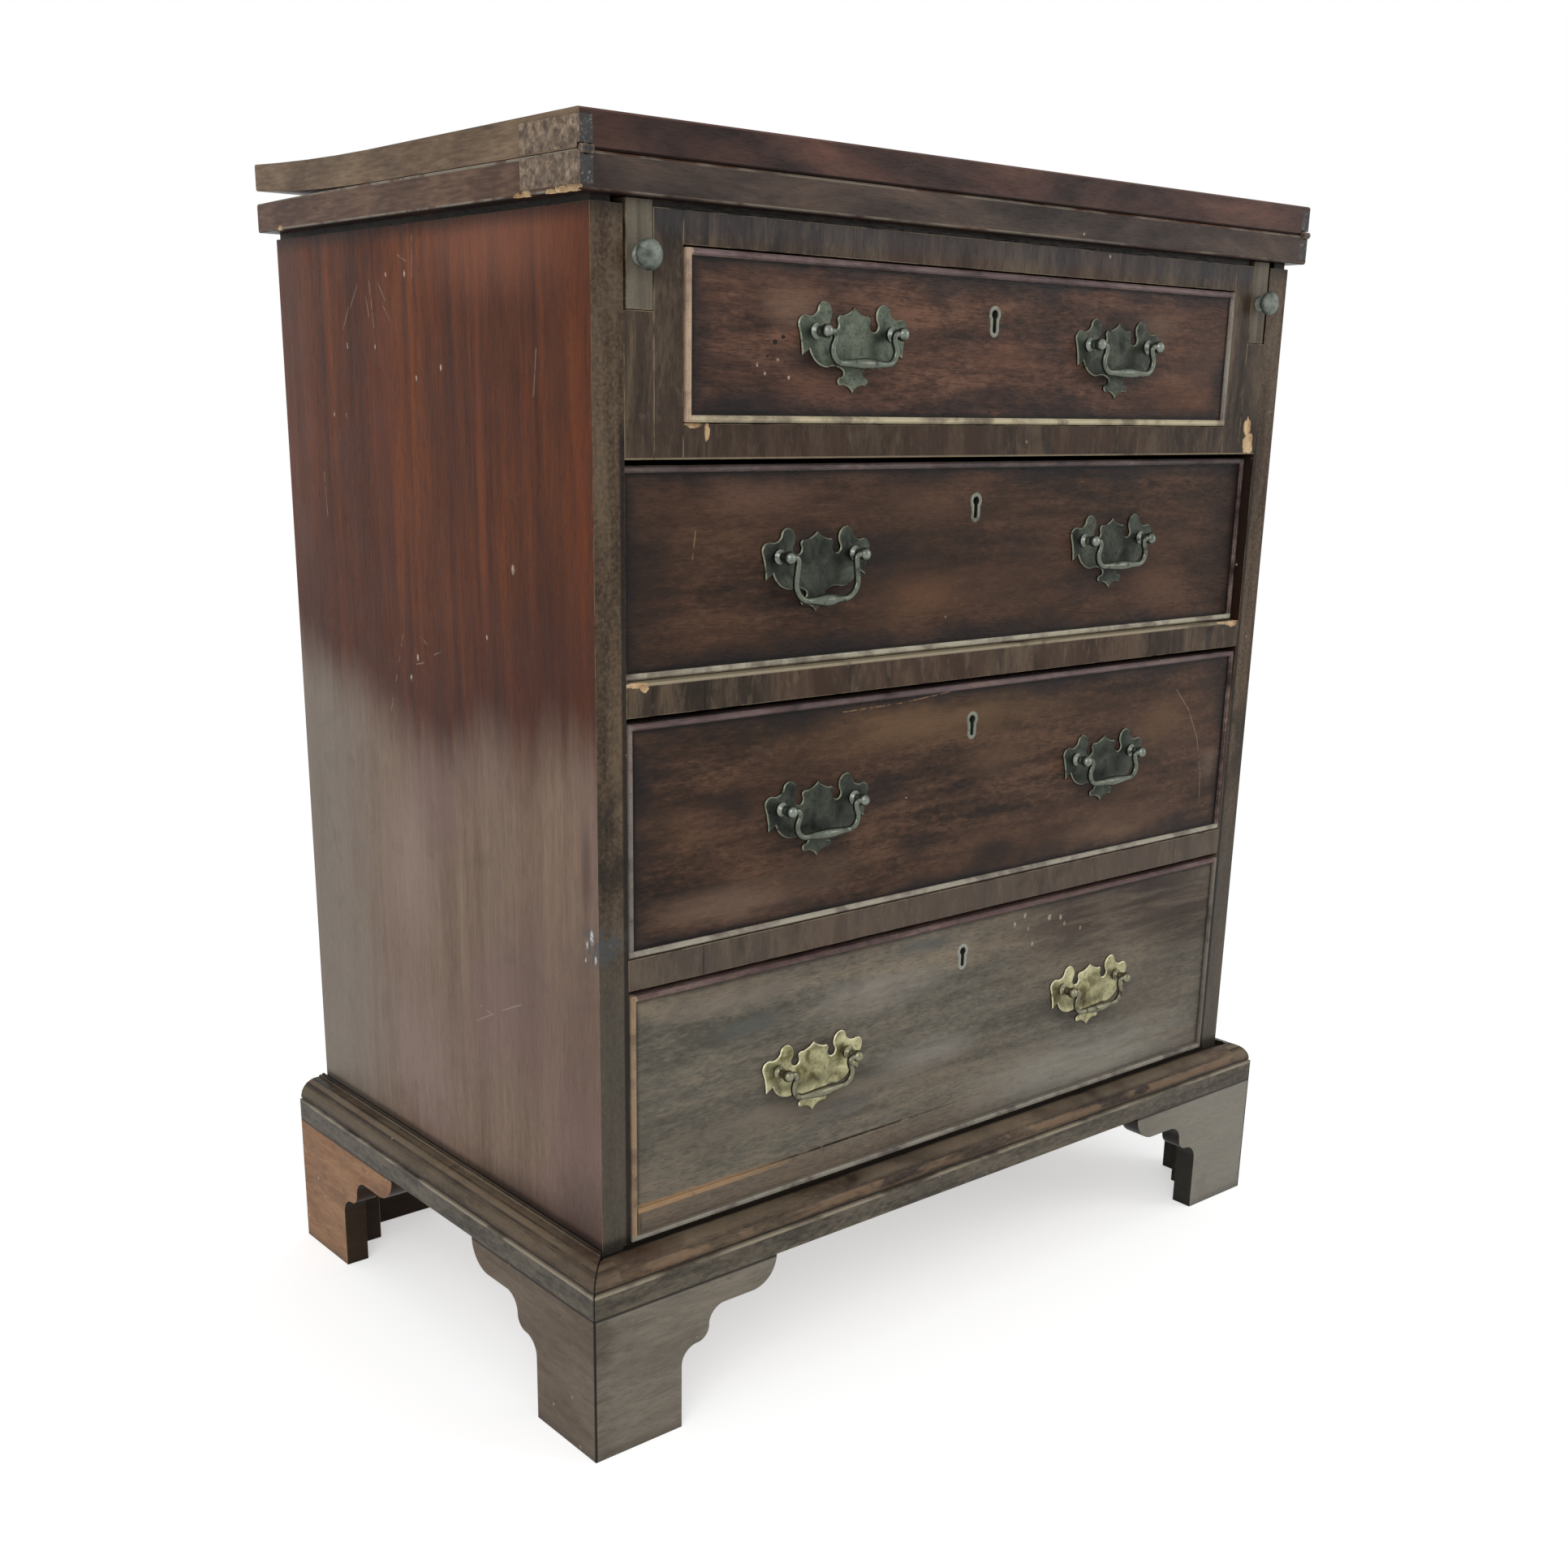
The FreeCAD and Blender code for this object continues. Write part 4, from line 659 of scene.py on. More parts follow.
def bead_finish():
    """Cockbeads: purplish grey, rubbed pale where the hand and the next rail catch them, with painted
    highlights along their heads and feet.
    """
    coat = mahogany("bead_mahogany", 9, "x", ((46, 34, 34), (82, 66, 63), (120, 102, 96)), (30, 0.3))
    patchy = coat.math("MULTIPLY_ADD", coat.cloud(40, 0.36, 0.58, detail=5, shift=15), 0.65, 0.35)
    for n, edge, colour, share in PALE_BEADS:
        low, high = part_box(f"drawer_{n}_cockbeads")
        within = coat.within("z", low.z, high.z, 1 * MM)
        letter, limit, inward = {
            "head": ("z", high.z, -1),
            "foot": ("z", low.z, 1),
            "left": ("x", low.x, 1),
            "right": ("x", high.x, -1),
        }[edge]
        place = coat.beyond(letter, limit + inward * 4.6 * MM, limit + inward * 4 * MM)
        coat.layer((within, place, patchy), colour, share)
    return age(coat, (150, 134, 118), 0.75, 0.02, 0.3, 0.2)


def oak_finish(name, seed, along, *tones):
    coat = mahogany(name, seed, along, tones, (20, 0.16), 0.4)
    back_low, back_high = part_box("back_boards")
    for share in BACK_JOINTS:
        joint = coat.near("x", back_low.x + share * (back_high.x - back_low.x), 4 * MM)
        coat.layer((joint, coat.beyond("y", back_low.y - 1 * MM, back_low.y)), GRIME_AND_SHADE, 0.75)
    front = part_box("carcass_bottom")[0].y
    # Darkened front edge of the bottom board: painted shade in the gap under the lowest drawer, and grime
    coat.late = [(coat.beyond("y", front + 3 * MM, front + 1.5 * MM), GRIME_AND_SHADE, 0.95)]
    return age(coat, (170, 140, 104), 0.5, 0.03)


# Metal finishes

def metal(name, seed, dark, middle, light, edge, roughness, speckle=(420, 0.5), metallic=0.9, grain=70,
          steel=False):
    """Tarnished metal: cloudy patina, dark specks, bright worn edges that are also painted highlights on
    plate rims, posts and bails, grime and painted shade where wear is negative.
    """
    coat = Finish(name, seed, metallic, specular=0.4)
    patina = coat.noise(grain, detail=4, distortion=0.4)
    coat.colour = coat.ramp(patina, (0.34, dark), (0.5, middle), (0.68, light))
    scale, share = speckle
    specks = coat.cloud(scale, 0.54, 0.66, detail=3, shift=1)
    coat.layer(specks, dark, share)
    wear = coat.attribute("wear")
    # Pale where wear is positive: worn edges, also painted highlights on plate rims and on the forward
    # faces of posts and bails
    worn = coat.times(coat.band(wear, 0, 1), coat.cloud(150, 0.32, 0.5, shift=2))
    coat.layer(worn, edge, 0.9)
    # Dark where wear is negative: grime and painted shade on the plate walls
    coat.layer(coat.band(wear, 0, GRIMY_AND_SHADED), GRIME_AND_SHADE, 0.85)
    if steel:
        coat.layer(coat.facing("y"), coat.ramp(specks, (0.2, (44, 45, 47)), (0.9, (104, 106, 106))), 0.92)
    rough = coat.math("MULTIPLY_ADD", coat.noise(240, shift=3), 0.3, roughness - 0.15)
    height = coat.math("ADD", patina, coat.times(specks, -0.6))
    return coat.close(rough, height, 0.15 * MM)


# Meshes

def add_object(name, data):
    """Puts an object in the scene; a bmesh becomes its mesh and is used up."""
    if isinstance(data, bmesh.types.BMesh):
        mesh = bpy.data.meshes.new(name)
        data.to_mesh(mesh)
        data.free()
        data = mesh
    added = bpy.data.objects.new(name, data)
    bpy.context.scene.collection.objects.link(added)
    return added


def add_piece(name, bm, material, body):
    """Makes a mesh piece that rides on a body; its flat faces keep flat normals."""
    bm.normal_update()
    piece = add_object(name, bm)
    mesh = piece.data
    mesh.polygons.foreach_set("use_smooth", [True] * len(mesh.polygons))
    mesh.set_sharp_from_angle(angle=SMOOTH_TURN)
    mesh.materials.append(material)
    steady = piece.modifiers.new("flat_normals", "WEIGHTED_NORMAL")
    steady.keep_sharp = True
    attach(piece, body)
    return piece


def solids(node):
    """The closed shells of a CAD node, each a list of triangles of corner places."""
    mesh = frame["nodes"][node].data
    shells = []
    shell = []
    open_edges = set()
    for polygon in mesh.polygons:
        corners = [tuple(round(value, CORNER_DIGITS) for value in mesh.vertices[index].co)
                   for index in polygon.vertices]
        if len(set(corners)) < 3:
            continue
        shell.append(corners)
        for near, far in zip(corners, corners[1:] + corners[:1]):
            open_edges ^= {(min(near, far), max(near, far))}
        if not open_edges:
            shells.append(shell)
            shell = []
    if shell:
        shells.append(shell)
    return shells


def shell_mesh(shell):
    bm = bmesh.new()
    corner = {}
    for triangle in shell:
        for place in triangle:
            if place not in corner:
                corner[place] = bm.verts.new(place)
        bm.faces.new([corner[place] for place in triangle])
    bmesh.ops.dissolve_limit(bm, angle_limit=FLAT_TURN, verts=bm.verts[:], edges=bm.edges[:])
    face_outward(bm)
    return bm


def split_evenly(edge):
    """Divides a long edge so that its arris can be dented along its length."""
    pieces = []
    for left in range(int(edge.calc_length() / DENT_PITCH), 0, -1):
        cut, _ = bmesh.utils.edge_split(edge, edge.verts[0], 1 / (left + 1))
        pieces.append(cut)
    return pieces + [edge]


def ease(bm, width):
    """Rounds the sharp outer edges; the rounded faces carry wear 1 and are dented a little."""
    wear = bm.faces.layers.float.new("wear")
    sharp = [edge for edge in bm.edges if edge.is_convex and edge.calc_face_angle(0) > SHARP_TURN]
    arrises = [piece for edge in sharp for piece in split_evenly(edge)]
    done = bmesh.ops.bevel(bm, geom=arrises, offset=width, segments=2, profile=0.5, affect="EDGES",
                           clamp_overlap=True)
    rounded = set(done["faces"])
    for face in rounded:
        face[wear] = 1
    bm.normal_update()
    for vert in bm.verts:
        if vert.link_faces and all(face in rounded for face in vert.link_faces):
            dent = max(0, noise.noise(vert.co * DENT_SCALE)) ** 2
            vert.co -= vert.normal * dent * DENT_DEPTH


def eased(node, width, material, keep=None, name=None):
    """A piece that stands for a CAD node: the same solids with eased arrises."""
    whole = bmesh.new()
    for shell in solids(node):
        if keep and not keep(shell):
            continue
        bm = shell_mesh(shell)
        ease(bm, width)
        part = bpy.data.meshes.new("part")
        bm.to_mesh(part)
        bm.free()
        whole.from_mesh(part)
        bpy.data.meshes.remove(part)
    body = frame["nodes"][node]["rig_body"]
    piece = add_piece(name or node + ".eased", whole, material, body)
    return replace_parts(piece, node)


def chip(piece, node):
    """Breaks lumps of wood off the piece of a node; the broken faces carry raw 1."""
    if node not in CHIPS:
        return
    steady = piece.modifiers["flat_normals"]
    steady.show_viewport = False
    for row in millimetres(CHIPS[node]):
        centre, reach = Vector(row[:3]), Vector(row[3:])
        bm = bmesh.new()
        bmesh.ops.create_icosphere(bm, subdivisions=3, radius=1)
        raw = bm.faces.layers.float.new("raw")
        for face in bm.faces:
            face[raw] = 1
        for vert in bm.verts:
            rough = 1 + CHIP_ROUGHNESS * noise.noise(vert.co * 2.1 + centre * 40)
            vert.co = centre + vert.co * rough * reach
        lump = add_object("lump", bm)
        cut = piece.modifiers.new("cut", "BOOLEAN")
        cut.operation = "DIFFERENCE"
        cut.solver = "EXACT"
        cut.object = lump
        whole = piece.data
        graph = bpy.context.evaluated_depsgraph_get()
        piece.data = bpy.data.meshes.new_from_object(piece.evaluated_get(graph))
        piece.modifiers.remove(cut)
        for old in (lump.data, whole):
            bpy.data.meshes.remove(old)
    piece.data.set_sharp_from_angle(angle=SMOOTH_TURN)
    steady.show_viewport = True


def ring_mesh(bm, rings, closed_ends=True):
    """Skin over rings of equally many places; returns the new faces, ring by ring."""
    loops = [[bm.verts.new(place) for place in ring] for ring in rings]
    count = len(loops[0])
    rows = []
    for near, far in zip(loops, loops[1:]):
        row = []
        for index in range(count):
            after = (index + 1) % count
            row.append(bm.faces.new((near[index], near[after], far[after], far[index])))
        rows.append(row)
    if closed_ends:
        bm.faces.new(loops[0][::-1])
        bm.faces.new(loops[-1])
    return rows


def on_circle(centre, radius, angle):
    """A place on a circle round a centre."""
    return (centre[0] + radius * math.cos(angle), centre[1] + radius * math.sin(angle))


def lathe(bm, profile, centre):
    """Turned form: profile holds (radius, reach) pairs, forward from centre."""
    turn = Vector((0, 0, 1)).rotation_difference(Vector((0, -1, 0))).to_matrix()
    rings = []
    for radius, reach in profile:
        ring = []
        for index in range(ROUND_SIDES):
            around = on_circle((0, 0), radius, math.tau * index / ROUND_SIDES)
            ring.append(Vector(centre) + turn @ Vector((*around, reach)))
        rings.append(ring)
    return ring_mesh(bm, rings)


def arc_points(start, through, end):
    """Places along the arc from start to end that passes through a third place, start left out."""
    # The circle's centre, from the three places
    (ax, ay), (bx, by), (cx, cy) = start, through, end
    double = 2 * (ax * (by - cy) + bx * (cy - ay) + cx * (ay - by))
    a, b, c = ax * ax + ay * ay, bx * bx + by * by, cx * cx + cy * cy
    ux = (a * (by - cy) + b * (cy - ay) + c * (ay - by)) / double
    uy = (a * (cx - bx) + b * (ax - cx) + c * (bx - ax)) / double
    first, middle, last = (math.atan2(y - uy, x - ux) for x, y in (start, through, end))
    sweep = (last - first) % math.tau
    if (middle - first) % math.tau > sweep:
        sweep -= math.tau
    radius = math.hypot(ax - ux, ay - uy)
    count = max(2, math.ceil(abs(sweep) / ARC_STEP))
    angles = [first + sweep * index / count for index in range(1, count + 1)]
    return [on_circle((ux, uy), radius, angle) for angle in angles]


def outline(start, steps):
    """An outline's places; a step is an end place, or (through, end) of an arc."""
    places = [start]
    for step in steps:
        if isinstance(step[0], tuple):
            places += arc_points(places[-1], *step)
        else:
            places.append(step)
    return places


# Places on the drawers

def face_y(n):
    """The plane of drawer n's field."""
    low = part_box(f"drawer_{n}_box")[0]
    return low.y + FRONT_LAP - FRONT_THICKNESS


def handle_places(n):
    """The (x, z) of the middle of each handle, at the level of its posts."""
    places = []
    for side in SIDES:
        low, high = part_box(f"drawer_{n}_bail_{side}")
        places.append(((low.x + high.x) / 2, high.z - BAIL_RADIUS))
    return places


# Brasses

def plate_outline():
    """The batwing outline around the posts' level, in metres."""
    post = POST_HALF / MM
    half = outline((0, 14.8), [
        ((4, 11.9), (10.2, 9.9)), ((13.2, 9.2), (13.7, 6.4)), ((16.6, 0.9), (19.5, 6.4)),
        ((19.7, 14.9), (24.6, 17.6)), ((28.8, 15.9), (30.2, 12.4)), ((post + 1.3, 9.6), (post + 6.2, 8.9)),
        ((post + 12.1, 7.9), (post + 14, 3.4)), ((post + 11.4, -5.2), (post + 10.4, -14.2)),
        (post + 4.6, -10.6), ((30.2, -18.3), (21.4, -20.9)), ((14.4, -20.2), (9.3, -22)),
        ((8.1, -24.4), (10, -26.4)), ((12.9, -29), (9.2, -30.9)), ((4.2, -32), (0, -35.8)),
    ])
    left = [(-u, w) for u, w in reversed(half[1:-1])]
    return [(u * MM, w * MM) for u, w in half + left]


def add_plate(bm, x, z, face):
    """A cast plate with walls darkened by grime and painted shade, and a bevelled rim pale with wear and a
    painted highlight.
    """
    wear = bm.faces.layers.float["wear"]
    front = face - PLATE_WALL
    places = plate_outline()
    rings = [[(x + u, y, z + w) for u, w in places] for y in (face, front)]
    loops = [[bm.verts.new(place) for place in ring] for ring in rings]
    count = len(places)
    for index in range(count):
        after = (index + 1) % count
        wall = bm.faces.new((loops[0][index], loops[1][index], loops[1][after], loops[0][after]))
        # Plate walls: grime and painted shade round the plate
        wall[wear] = GRIMY_AND_SHADED
    bm.faces.new(loops[0][::-1])
    field = bm.faces.new(loops[1])
    bm.normal_update()
    if field.normal.y > 0:
        bmesh.ops.reverse_faces(bm, faces=bm.faces[:])
    done = bmesh.ops.inset_region(bm, faces=[field], thickness=PLATE_BEVEL,
                                  depth=PLATE_THICKNESS - PLATE_WALL, use_even_offset=True)
    for bevel in done["faces"]:
        bevel[wear] = 1


def ball_profile():
    profile = millimetres([(0.2, 0), (4.4, 0), (4.7, 0.5), (4.7, 1.1), (4, 1.7), (2.9, 2.6), (2.5, 3.6),
                           (2.6, 4.6), (3.3, 5.2), (3.2, 5.8)])
    for turn in range(-48, 91, 12):
        angle = math.radians(turn)
        radius = max(BALL_RADIUS * math.cos(angle), 0.05 * MM)
        profile.append((radius, BALL_REACH + BALL_RADIUS * math.sin(angle)))
    return profile


def keyhole_outline(grow):
    """Keyhole around the centre of its head: a round head over a slot with a round foot."""
    radius, half, tail = KEYHOLE_RADIUS + grow, KEYHOLE_SLOT / 2 + grow, KEYHOLE_TAIL + grow
    join = -math.sqrt(radius * radius - half * half)
    foot = half - tail
    head, tip = (0, radius), (0, -tail)
    return outline((half, join), [(head, (-half, join)), (-half, foot), (tip, (half, foot))])


def resampled(places, count):
    """A closed outline as evenly spaced places."""
    ring = places + places[:1]
    lengths = [0]
    for near, far in zip(ring, ring[1:]):
        lengths.append(lengths[-1] + math.hypot(far[0] - near[0], far[1] - near[1]))
    result = []
    index = 0
    for step in range(count):
        goal = lengths[-1] * step / count
        while lengths[index + 1] < goal:
            index += 1
        share = (goal - lengths[index]) / (lengths[index + 1] - lengths[index])
        near, far = ring[index], ring[index + 1]
        result.append((near[0] + (far[0] - near[0]) * share, near[1] + (far[1] - near[1]) * share))
    return result


def add_escutcheon(bm, z, face):
    """The thread escutcheon: a keyhole-shaped lining with a rounded rim."""
    wear = bm.faces.layers.float["wear"]
    sections = [(RIM, RIM_DEPTH), (RIM, 0), (RIM - RIM_BEVEL, -RIM_PROUD), (RIM_BEVEL, -RIM_PROUD), (0, 0),
                (0, RIM_DEPTH), (RIM, RIM_DEPTH)]
    rings = []
    for grow, depth in sections:
        places = resampled(keyhole_outline(grow), KEYHOLE_STEPS)
        rings.append([(u, face + depth, z + w) for u, w in places])
    for row in ring_mesh(bm, rings, closed_ends=False)[1:4]:
        for facet in row:
            facet[wear] = 1


def bail_path(leg, swan, corner_radius, bar_radius):
    """Centre line of a bail from pin to pin as (u, w, radius)."""
    start_u = POST_HALF - BALL_RADIUS - BALL_GAP
    neck_u = start_u - SHOULDER
    slant = SHOULDER * (1 - math.sqrt(0.5))
    neck = (neck_u, -SHOULDER)
    bend = (neck_u + SWAN_RADIUS, -SHOULDER)
    swan_mid = on_circle(bend, -SWAN_RADIUS, swan / 2)
    swan_end = on_circle(bend, -SWAN_RADIUS, swan)
    leg_end = on_circle(swan_end, leg, swan - math.pi / 2)
    centre = on_circle(leg_end, -corner_radius, swan)
    corner = on_circle(centre, corner_radius, (swan - math.pi / 2) / 2)
    bottom = (centre[0], centre[1] - corner_radius)
    shoulder = (neck_u + slant, -slant)
    bends = outline((start_u, 0), [(shoulder, neck), (swan_mid, swan_end), leg_end, (corner, bottom)])
    half = [(POST_HALF + PIN_DEPTH, 0, PIN_RADIUS), (start_u + 1.2 * MM, 0, PIN_RADIUS),
            (start_u + 0.9 * MM, 0, BAIL_RADIUS)]
    half += [(u, w, BAIL_RADIUS) for u, w in bends]
    for index in range(1, BAR_STEPS + 1):
        share = index / BAR_STEPS
        swell = BAIL_RADIUS + (bar_radius - BAIL_RADIUS) * math.sin(share * math.pi / 2) ** 2
        half.append((bottom[0] * (1 - share), bottom[1], swell))
    return half + [(-u, w, radius) for u, w, radius in reversed(half[:-1])]


def add_bail(bm, x, y, z, path):
    """A bail hung at (x, y, z). Its bar swells forward, so that it still clears the plate."""
    rings = []
    for index, (u, w, radius) in enumerate(path):
        before, after = path[max(index - 1, 0)], path[min(index + 1, len(path) - 1)]
        heading = Vector((after[0] - before[0], 0, after[1] - before[1])).normalized()
        across = Vector((-heading.z, 0, heading.x))
        forward = FORWARD_SWELL * max(radius - BAIL_RADIUS, 0)
        ring = []
        for side in range(BAIL_SIDES):
            angle = math.tau * side / BAIL_SIDES
            centre = Vector((x + u, y - forward + radius * math.cos(angle), z + w))
            ring.append(centre + across * radius * math.sin(angle))
        rings.append(ring)
    ring_mesh(bm, rings)


def new_bmesh():
    bm = bmesh.new()
    bm.faces.layers.float.new("wear")
    return bm


def face_outward(bm):
    bmesh.ops.recalc_face_normals(bm, faces=bm.faces[:])


def rub_and_highlight(bm):
    """Marks the faces that look forward as worn by the hand; their pale colour is also a painted highlight.
    """
    wear = bm.faces.layers.float["wear"]
    face_outward(bm)
    bm.normal_update()
    for face in bm.faces:
        if face.normal.y < RUBBED_AND_LIT_TILT:
            face[wear] = 1


def build_brasses(n, plates, bail_material, post_material, thread, iron):
    """Plates, posts, bails and keyhole lining of one drawer, and its eased lock and nuts."""
    face = face_y(n)
    node = f"drawer_{n}_brasses"
    body = f"drawer_{n}"
    seat = face - PLATE_THICKNESS
    inside = face + RIM_DEPTH * 0.5

    def behind(shell):
        return min(place[1] for triangle in shell for place in triangle) > inside

    eased(node, EASE_FINE, iron, behind, f"drawer_{n}_lock_and_nuts")
    for (x, z), side in zip(handle_places(n), SIDES):
        bm = new_bmesh()
        add_plate(bm, x, z, face)
        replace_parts(add_piece(f"drawer_{n}_plate_{side}", bm, plates[side], body), node)
        bm = new_bmesh()
        for way in (-1, 1):
            lathe(bm, ball_profile(), (x + way * POST_HALF, seat, z))
        # Forward faces of the posts: wear and painted highlight
        rub_and_highlight(bm)
        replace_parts(add_piece(f"drawer_{n}_posts_{side}", bm, post_material, body), node)
        bm = new_bmesh()
        shape = PLAIN_BAIL if (n, side) == (2, "left") else SWAN_BAIL
        add_bail(bm, x, seat - BALL_REACH, z, bail_path(*shape))
        rub_and_highlight(bm)
        bail_node = f"drawer_{n}_bail_{side}"
        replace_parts(add_piece(bail_node + ".cast", bm, bail_material, bail_node), bail_node)
    bm = new_bmesh()
    add_escutcheon(bm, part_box(f"drawer_{n}_cockbeads")[1].z - KEYHOLE_DROP, face)
    face_outward(bm)
    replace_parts(add_piece(f"drawer_{n}_escutcheon", bm, thread, body), node)


def build_knob(side, material):
    """A turned knob on the end of a loper."""
    node = f"loper_knob_{side}"
    low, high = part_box(node)
    profile = millimetres([(0.2, 0), (5.2, 0), (5.6, 0.6), (5.2, 1.5), (4, 2.2), (3.5, 3), (3.7, 4),
                           (5, 4.6)])
    for turn in range(-50, 91, 10):
        angle = math.radians(turn)
        profile.append((max(8.6 * math.cos(angle), 0.05) * MM, (9.6 + 5.4 * math.sin(angle)) * MM))
    bm = new_bmesh()
    lathe(bm, profile, ((low.x + high.x) / 2, high.y, (low.z + high.z) / 2))
    face_outward(bm)
    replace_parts(add_piece(node + ".turned", bm, material, f"loper_{side}"), node)


# Wear marks, by place on the part in millimetres

def millimetres(rows):
    """Rows of lengths in millimetres as metres; a colour at the end of a row stays as it is."""
    return [[value if isinstance(value, tuple) else value * MM for value in row] for row in rows]


# y, z, half width, half height, colour
SIDE_STREAKS = [
    (-64, 600, 8, 200, (140, 72, 38)), (-174, 590, 10, 200, (112, 48, 14)),
    (-150, 600, 14, 220, (56, 26, 18)), (-122, 530, 52, 120, (28, 7, 2)),
    (-162, 530, 34, 130, (40, 12, 2)), (-80, 760, 150, 60, (164, 108, 86)),
    (-86, 680, 7, 100, (58, 28, 19)), (-30, 640, 10, 140, (72, 34, 23)),
    (110, 630, 22, 100, (62, 33, 27)), (60, 660, 30, 120, (108, 54, 36)),
    (150, 560, 14, 80, (56, 30, 26)), (90, 570, 70, 100, (46, 24, 19)),
]
# Streaks within the painted floor reflection on the lower sides
FLOOR_REFLECTION_STREAKS = [
    (-174, 385, 9, 50, (70, 46, 39)), (-163, 400, 3, 40, (146, 108, 84)),
    (50, 345, 60, 100, (150, 130, 118)), (50, 200, 80, 90, (140, 120, 111)),
    (-168, 140, 60, 76, (44, 30, 29)), (-90, 134, 110, 34, (46, 33, 32)),
    (-110, 290, 44, 110, (106, 84, 78)), (-164, 270, 36, 130, (94, 72, 65)),
]
# From y, z to y, z
SIDE_SCRATCHES = [
    (86.5, 732.7, 98, 718), (100, 719, 109.5, 705.1), (58.3, 732.7, 49, 721.4), (70, 734, 66, 705),
    (10.6, 761, 13.1, 732.5), (30, 748, 20, 744), (52, 718, 44, 709), (76, 725, 72, 712),
    (44.1, 508, 52, 488), (56, 478, 68, 448), (20, 508, 12, 504), (3, 498, -6, 501), (17, 491, 27, 489),
    (-37.1, 251.9, -60, 263), (-42, 264, -58, 262), (-70, 268, -94.7, 279.1), (-130, 690, -126, 660),
    (150, 610, 148, 580),
]
# y, z, reach
SIDE_FLECKS = [
    (22.2, 736.7, 2), (46.9, 737.2, 1.7), (12, 673.4, 1.7),
    (-19.6, 679.8, 1.9), (-98.7, 561.8, 2.8), (104.9, 694.2, 1.8),
    (65.7, 693.2, 1.6), (129.5, 649.6, 1.5), (111.3, 648.8, 1.6),
    (25.2, 493.7, 2.2), (35.4, 478.7, 2.2), (-65.5, 517.2, 1.7),
]
BRUISE_PLACE = (-HALF_WIDTH, -0.183, 0.3404)
# y, z, half width, half height
BRUISE_MARKS = [
    (-179, 346, 2.4, 6), (-174, 340, 1.4, 3),
    (-183, 332, 1.6, 4), (-172, 330, 1.2, 2.4),
]
# Depth of the front, then lines of x, z
DRAWER_SCRATCHES = {
    2: (-177.5, [[(-241.9, 587.1), (-244.3, 570.4)]]),
    3: (-184, [[(230.8, 450.3), (248, 433), (262, 409), (270, 380), (272.2, 353.3)],
               [(-122.9, 467), (-70, 468), (-24.5, 471.5)]]),
}
# x, z, half width, half height, colour
DRAWER_CLOUDS = {
    1: [
        (-215, 664, 60, 16, GLOOM), (60, 702, 35, 22, GLOOM), (232, 740, 40, 30, GLOOM),
        (10, 738, 70, 16, GLOOM), (-5, 668, 50, 12, GLOOM), (-165, 690, 30, 14, GLOOM),
        (-175, 717, 36, 18, (114, 88, 72)), (10, 694, 50, 14, (104, 70, 54)),
        (200, 670, 70, 18, (112, 75, 55)), (170, 717, 36, 16, (102, 80, 65)),
        (-150, 672, 50, 14, (104, 70, 55)), (226, 700, 46, 40, (66, 48, 40)),
    ],
    2: [
        (-284, 560, 44, 90, GLOOM), (-130, 508, 170, 18, GLOOM), (-85, 566, 40, 24, GLOOM),
        (284, 570, 44, 90, GLOOM), (110, 538, 40, 22, GLOOM), (60, 570, 50, 22, GLOOM),
        (-50, 538, 60, 22, (96, 68, 48)), (-190, 610, 70, 18, (96, 70, 56)),
        (200, 535, 50, 22, (90, 64, 48)), (-50, 596, 60, 20, (86, 62, 47)),
    ],
    3: [
        (-288, 424, 44, 66, GLOOM), (-215, 412, 40, 18, GLOOM), (-88, 408, 50, 20, GLOOM),
        (30, 350, 40, 16, GLOOM), (-50, 366, 30, 14, GLOOM), (285, 456, 40, 30, GLOOM),
        (-40, 454, 190, 26, (104, 80, 57)), (-220, 350, 100, 22, (110, 88, 74)),
        (30, 420, 50, 22, (94, 70, 52)), (170, 350, 90, 20, (106, 84, 66)),
        (-140, 360, 50, 22, (92, 72, 58)), (215, 424, 40, 24, (98, 76, 52)),
        (284, 384, 26, 20, (106, 88, 74)),
    ],
    4: [
        (180, 286, 210, 70, (52, 40, 34)), (265, 256, 80, 56, (54, 45, 39)),
        (150, 158, 200, 40, (140, 135, 124)), (-80, 264, 90, 22, (136, 129, 119)),
        (-30, 206, 70, 18, (130, 124, 115)), (-160, 196, 160, 12, (116, 106, 93)),
        (-220, 286, 80, 12, (124, 113, 101)), (-40, 290, 50, 12, (86, 86, 82)),
        (-120, 184, 50, 10, (86, 84, 80)), (-200, 264, 50, 10, (88, 88, 82)),
    ],
}
# x, z, reach
DRAWER_FLECKS = {
    1: [(-203, 684, 1.4), (-197, 679, 1.2), (-187, 687, 1.2), (-178, 677, 1.3)],
    4: [(55, 289, 2.3), (66, 294, 2), (94, 288, 2.7), (107, 286, 2.3),
        (112, 280, 1.8), (76, 270, 1.8), (70, 283, 1.6), (131, 273, 1.8)],
}
DRAWER_HOLES = {
    1: [(-183, 700.3, 1.9), (-189.3, 697.2, 2.4), (-195, 689, 1.2)],
}
BACK_JOINTS = (0.25, 0.5, 0.75)
VENEER_JOINTS = (-0.241, 0.241)
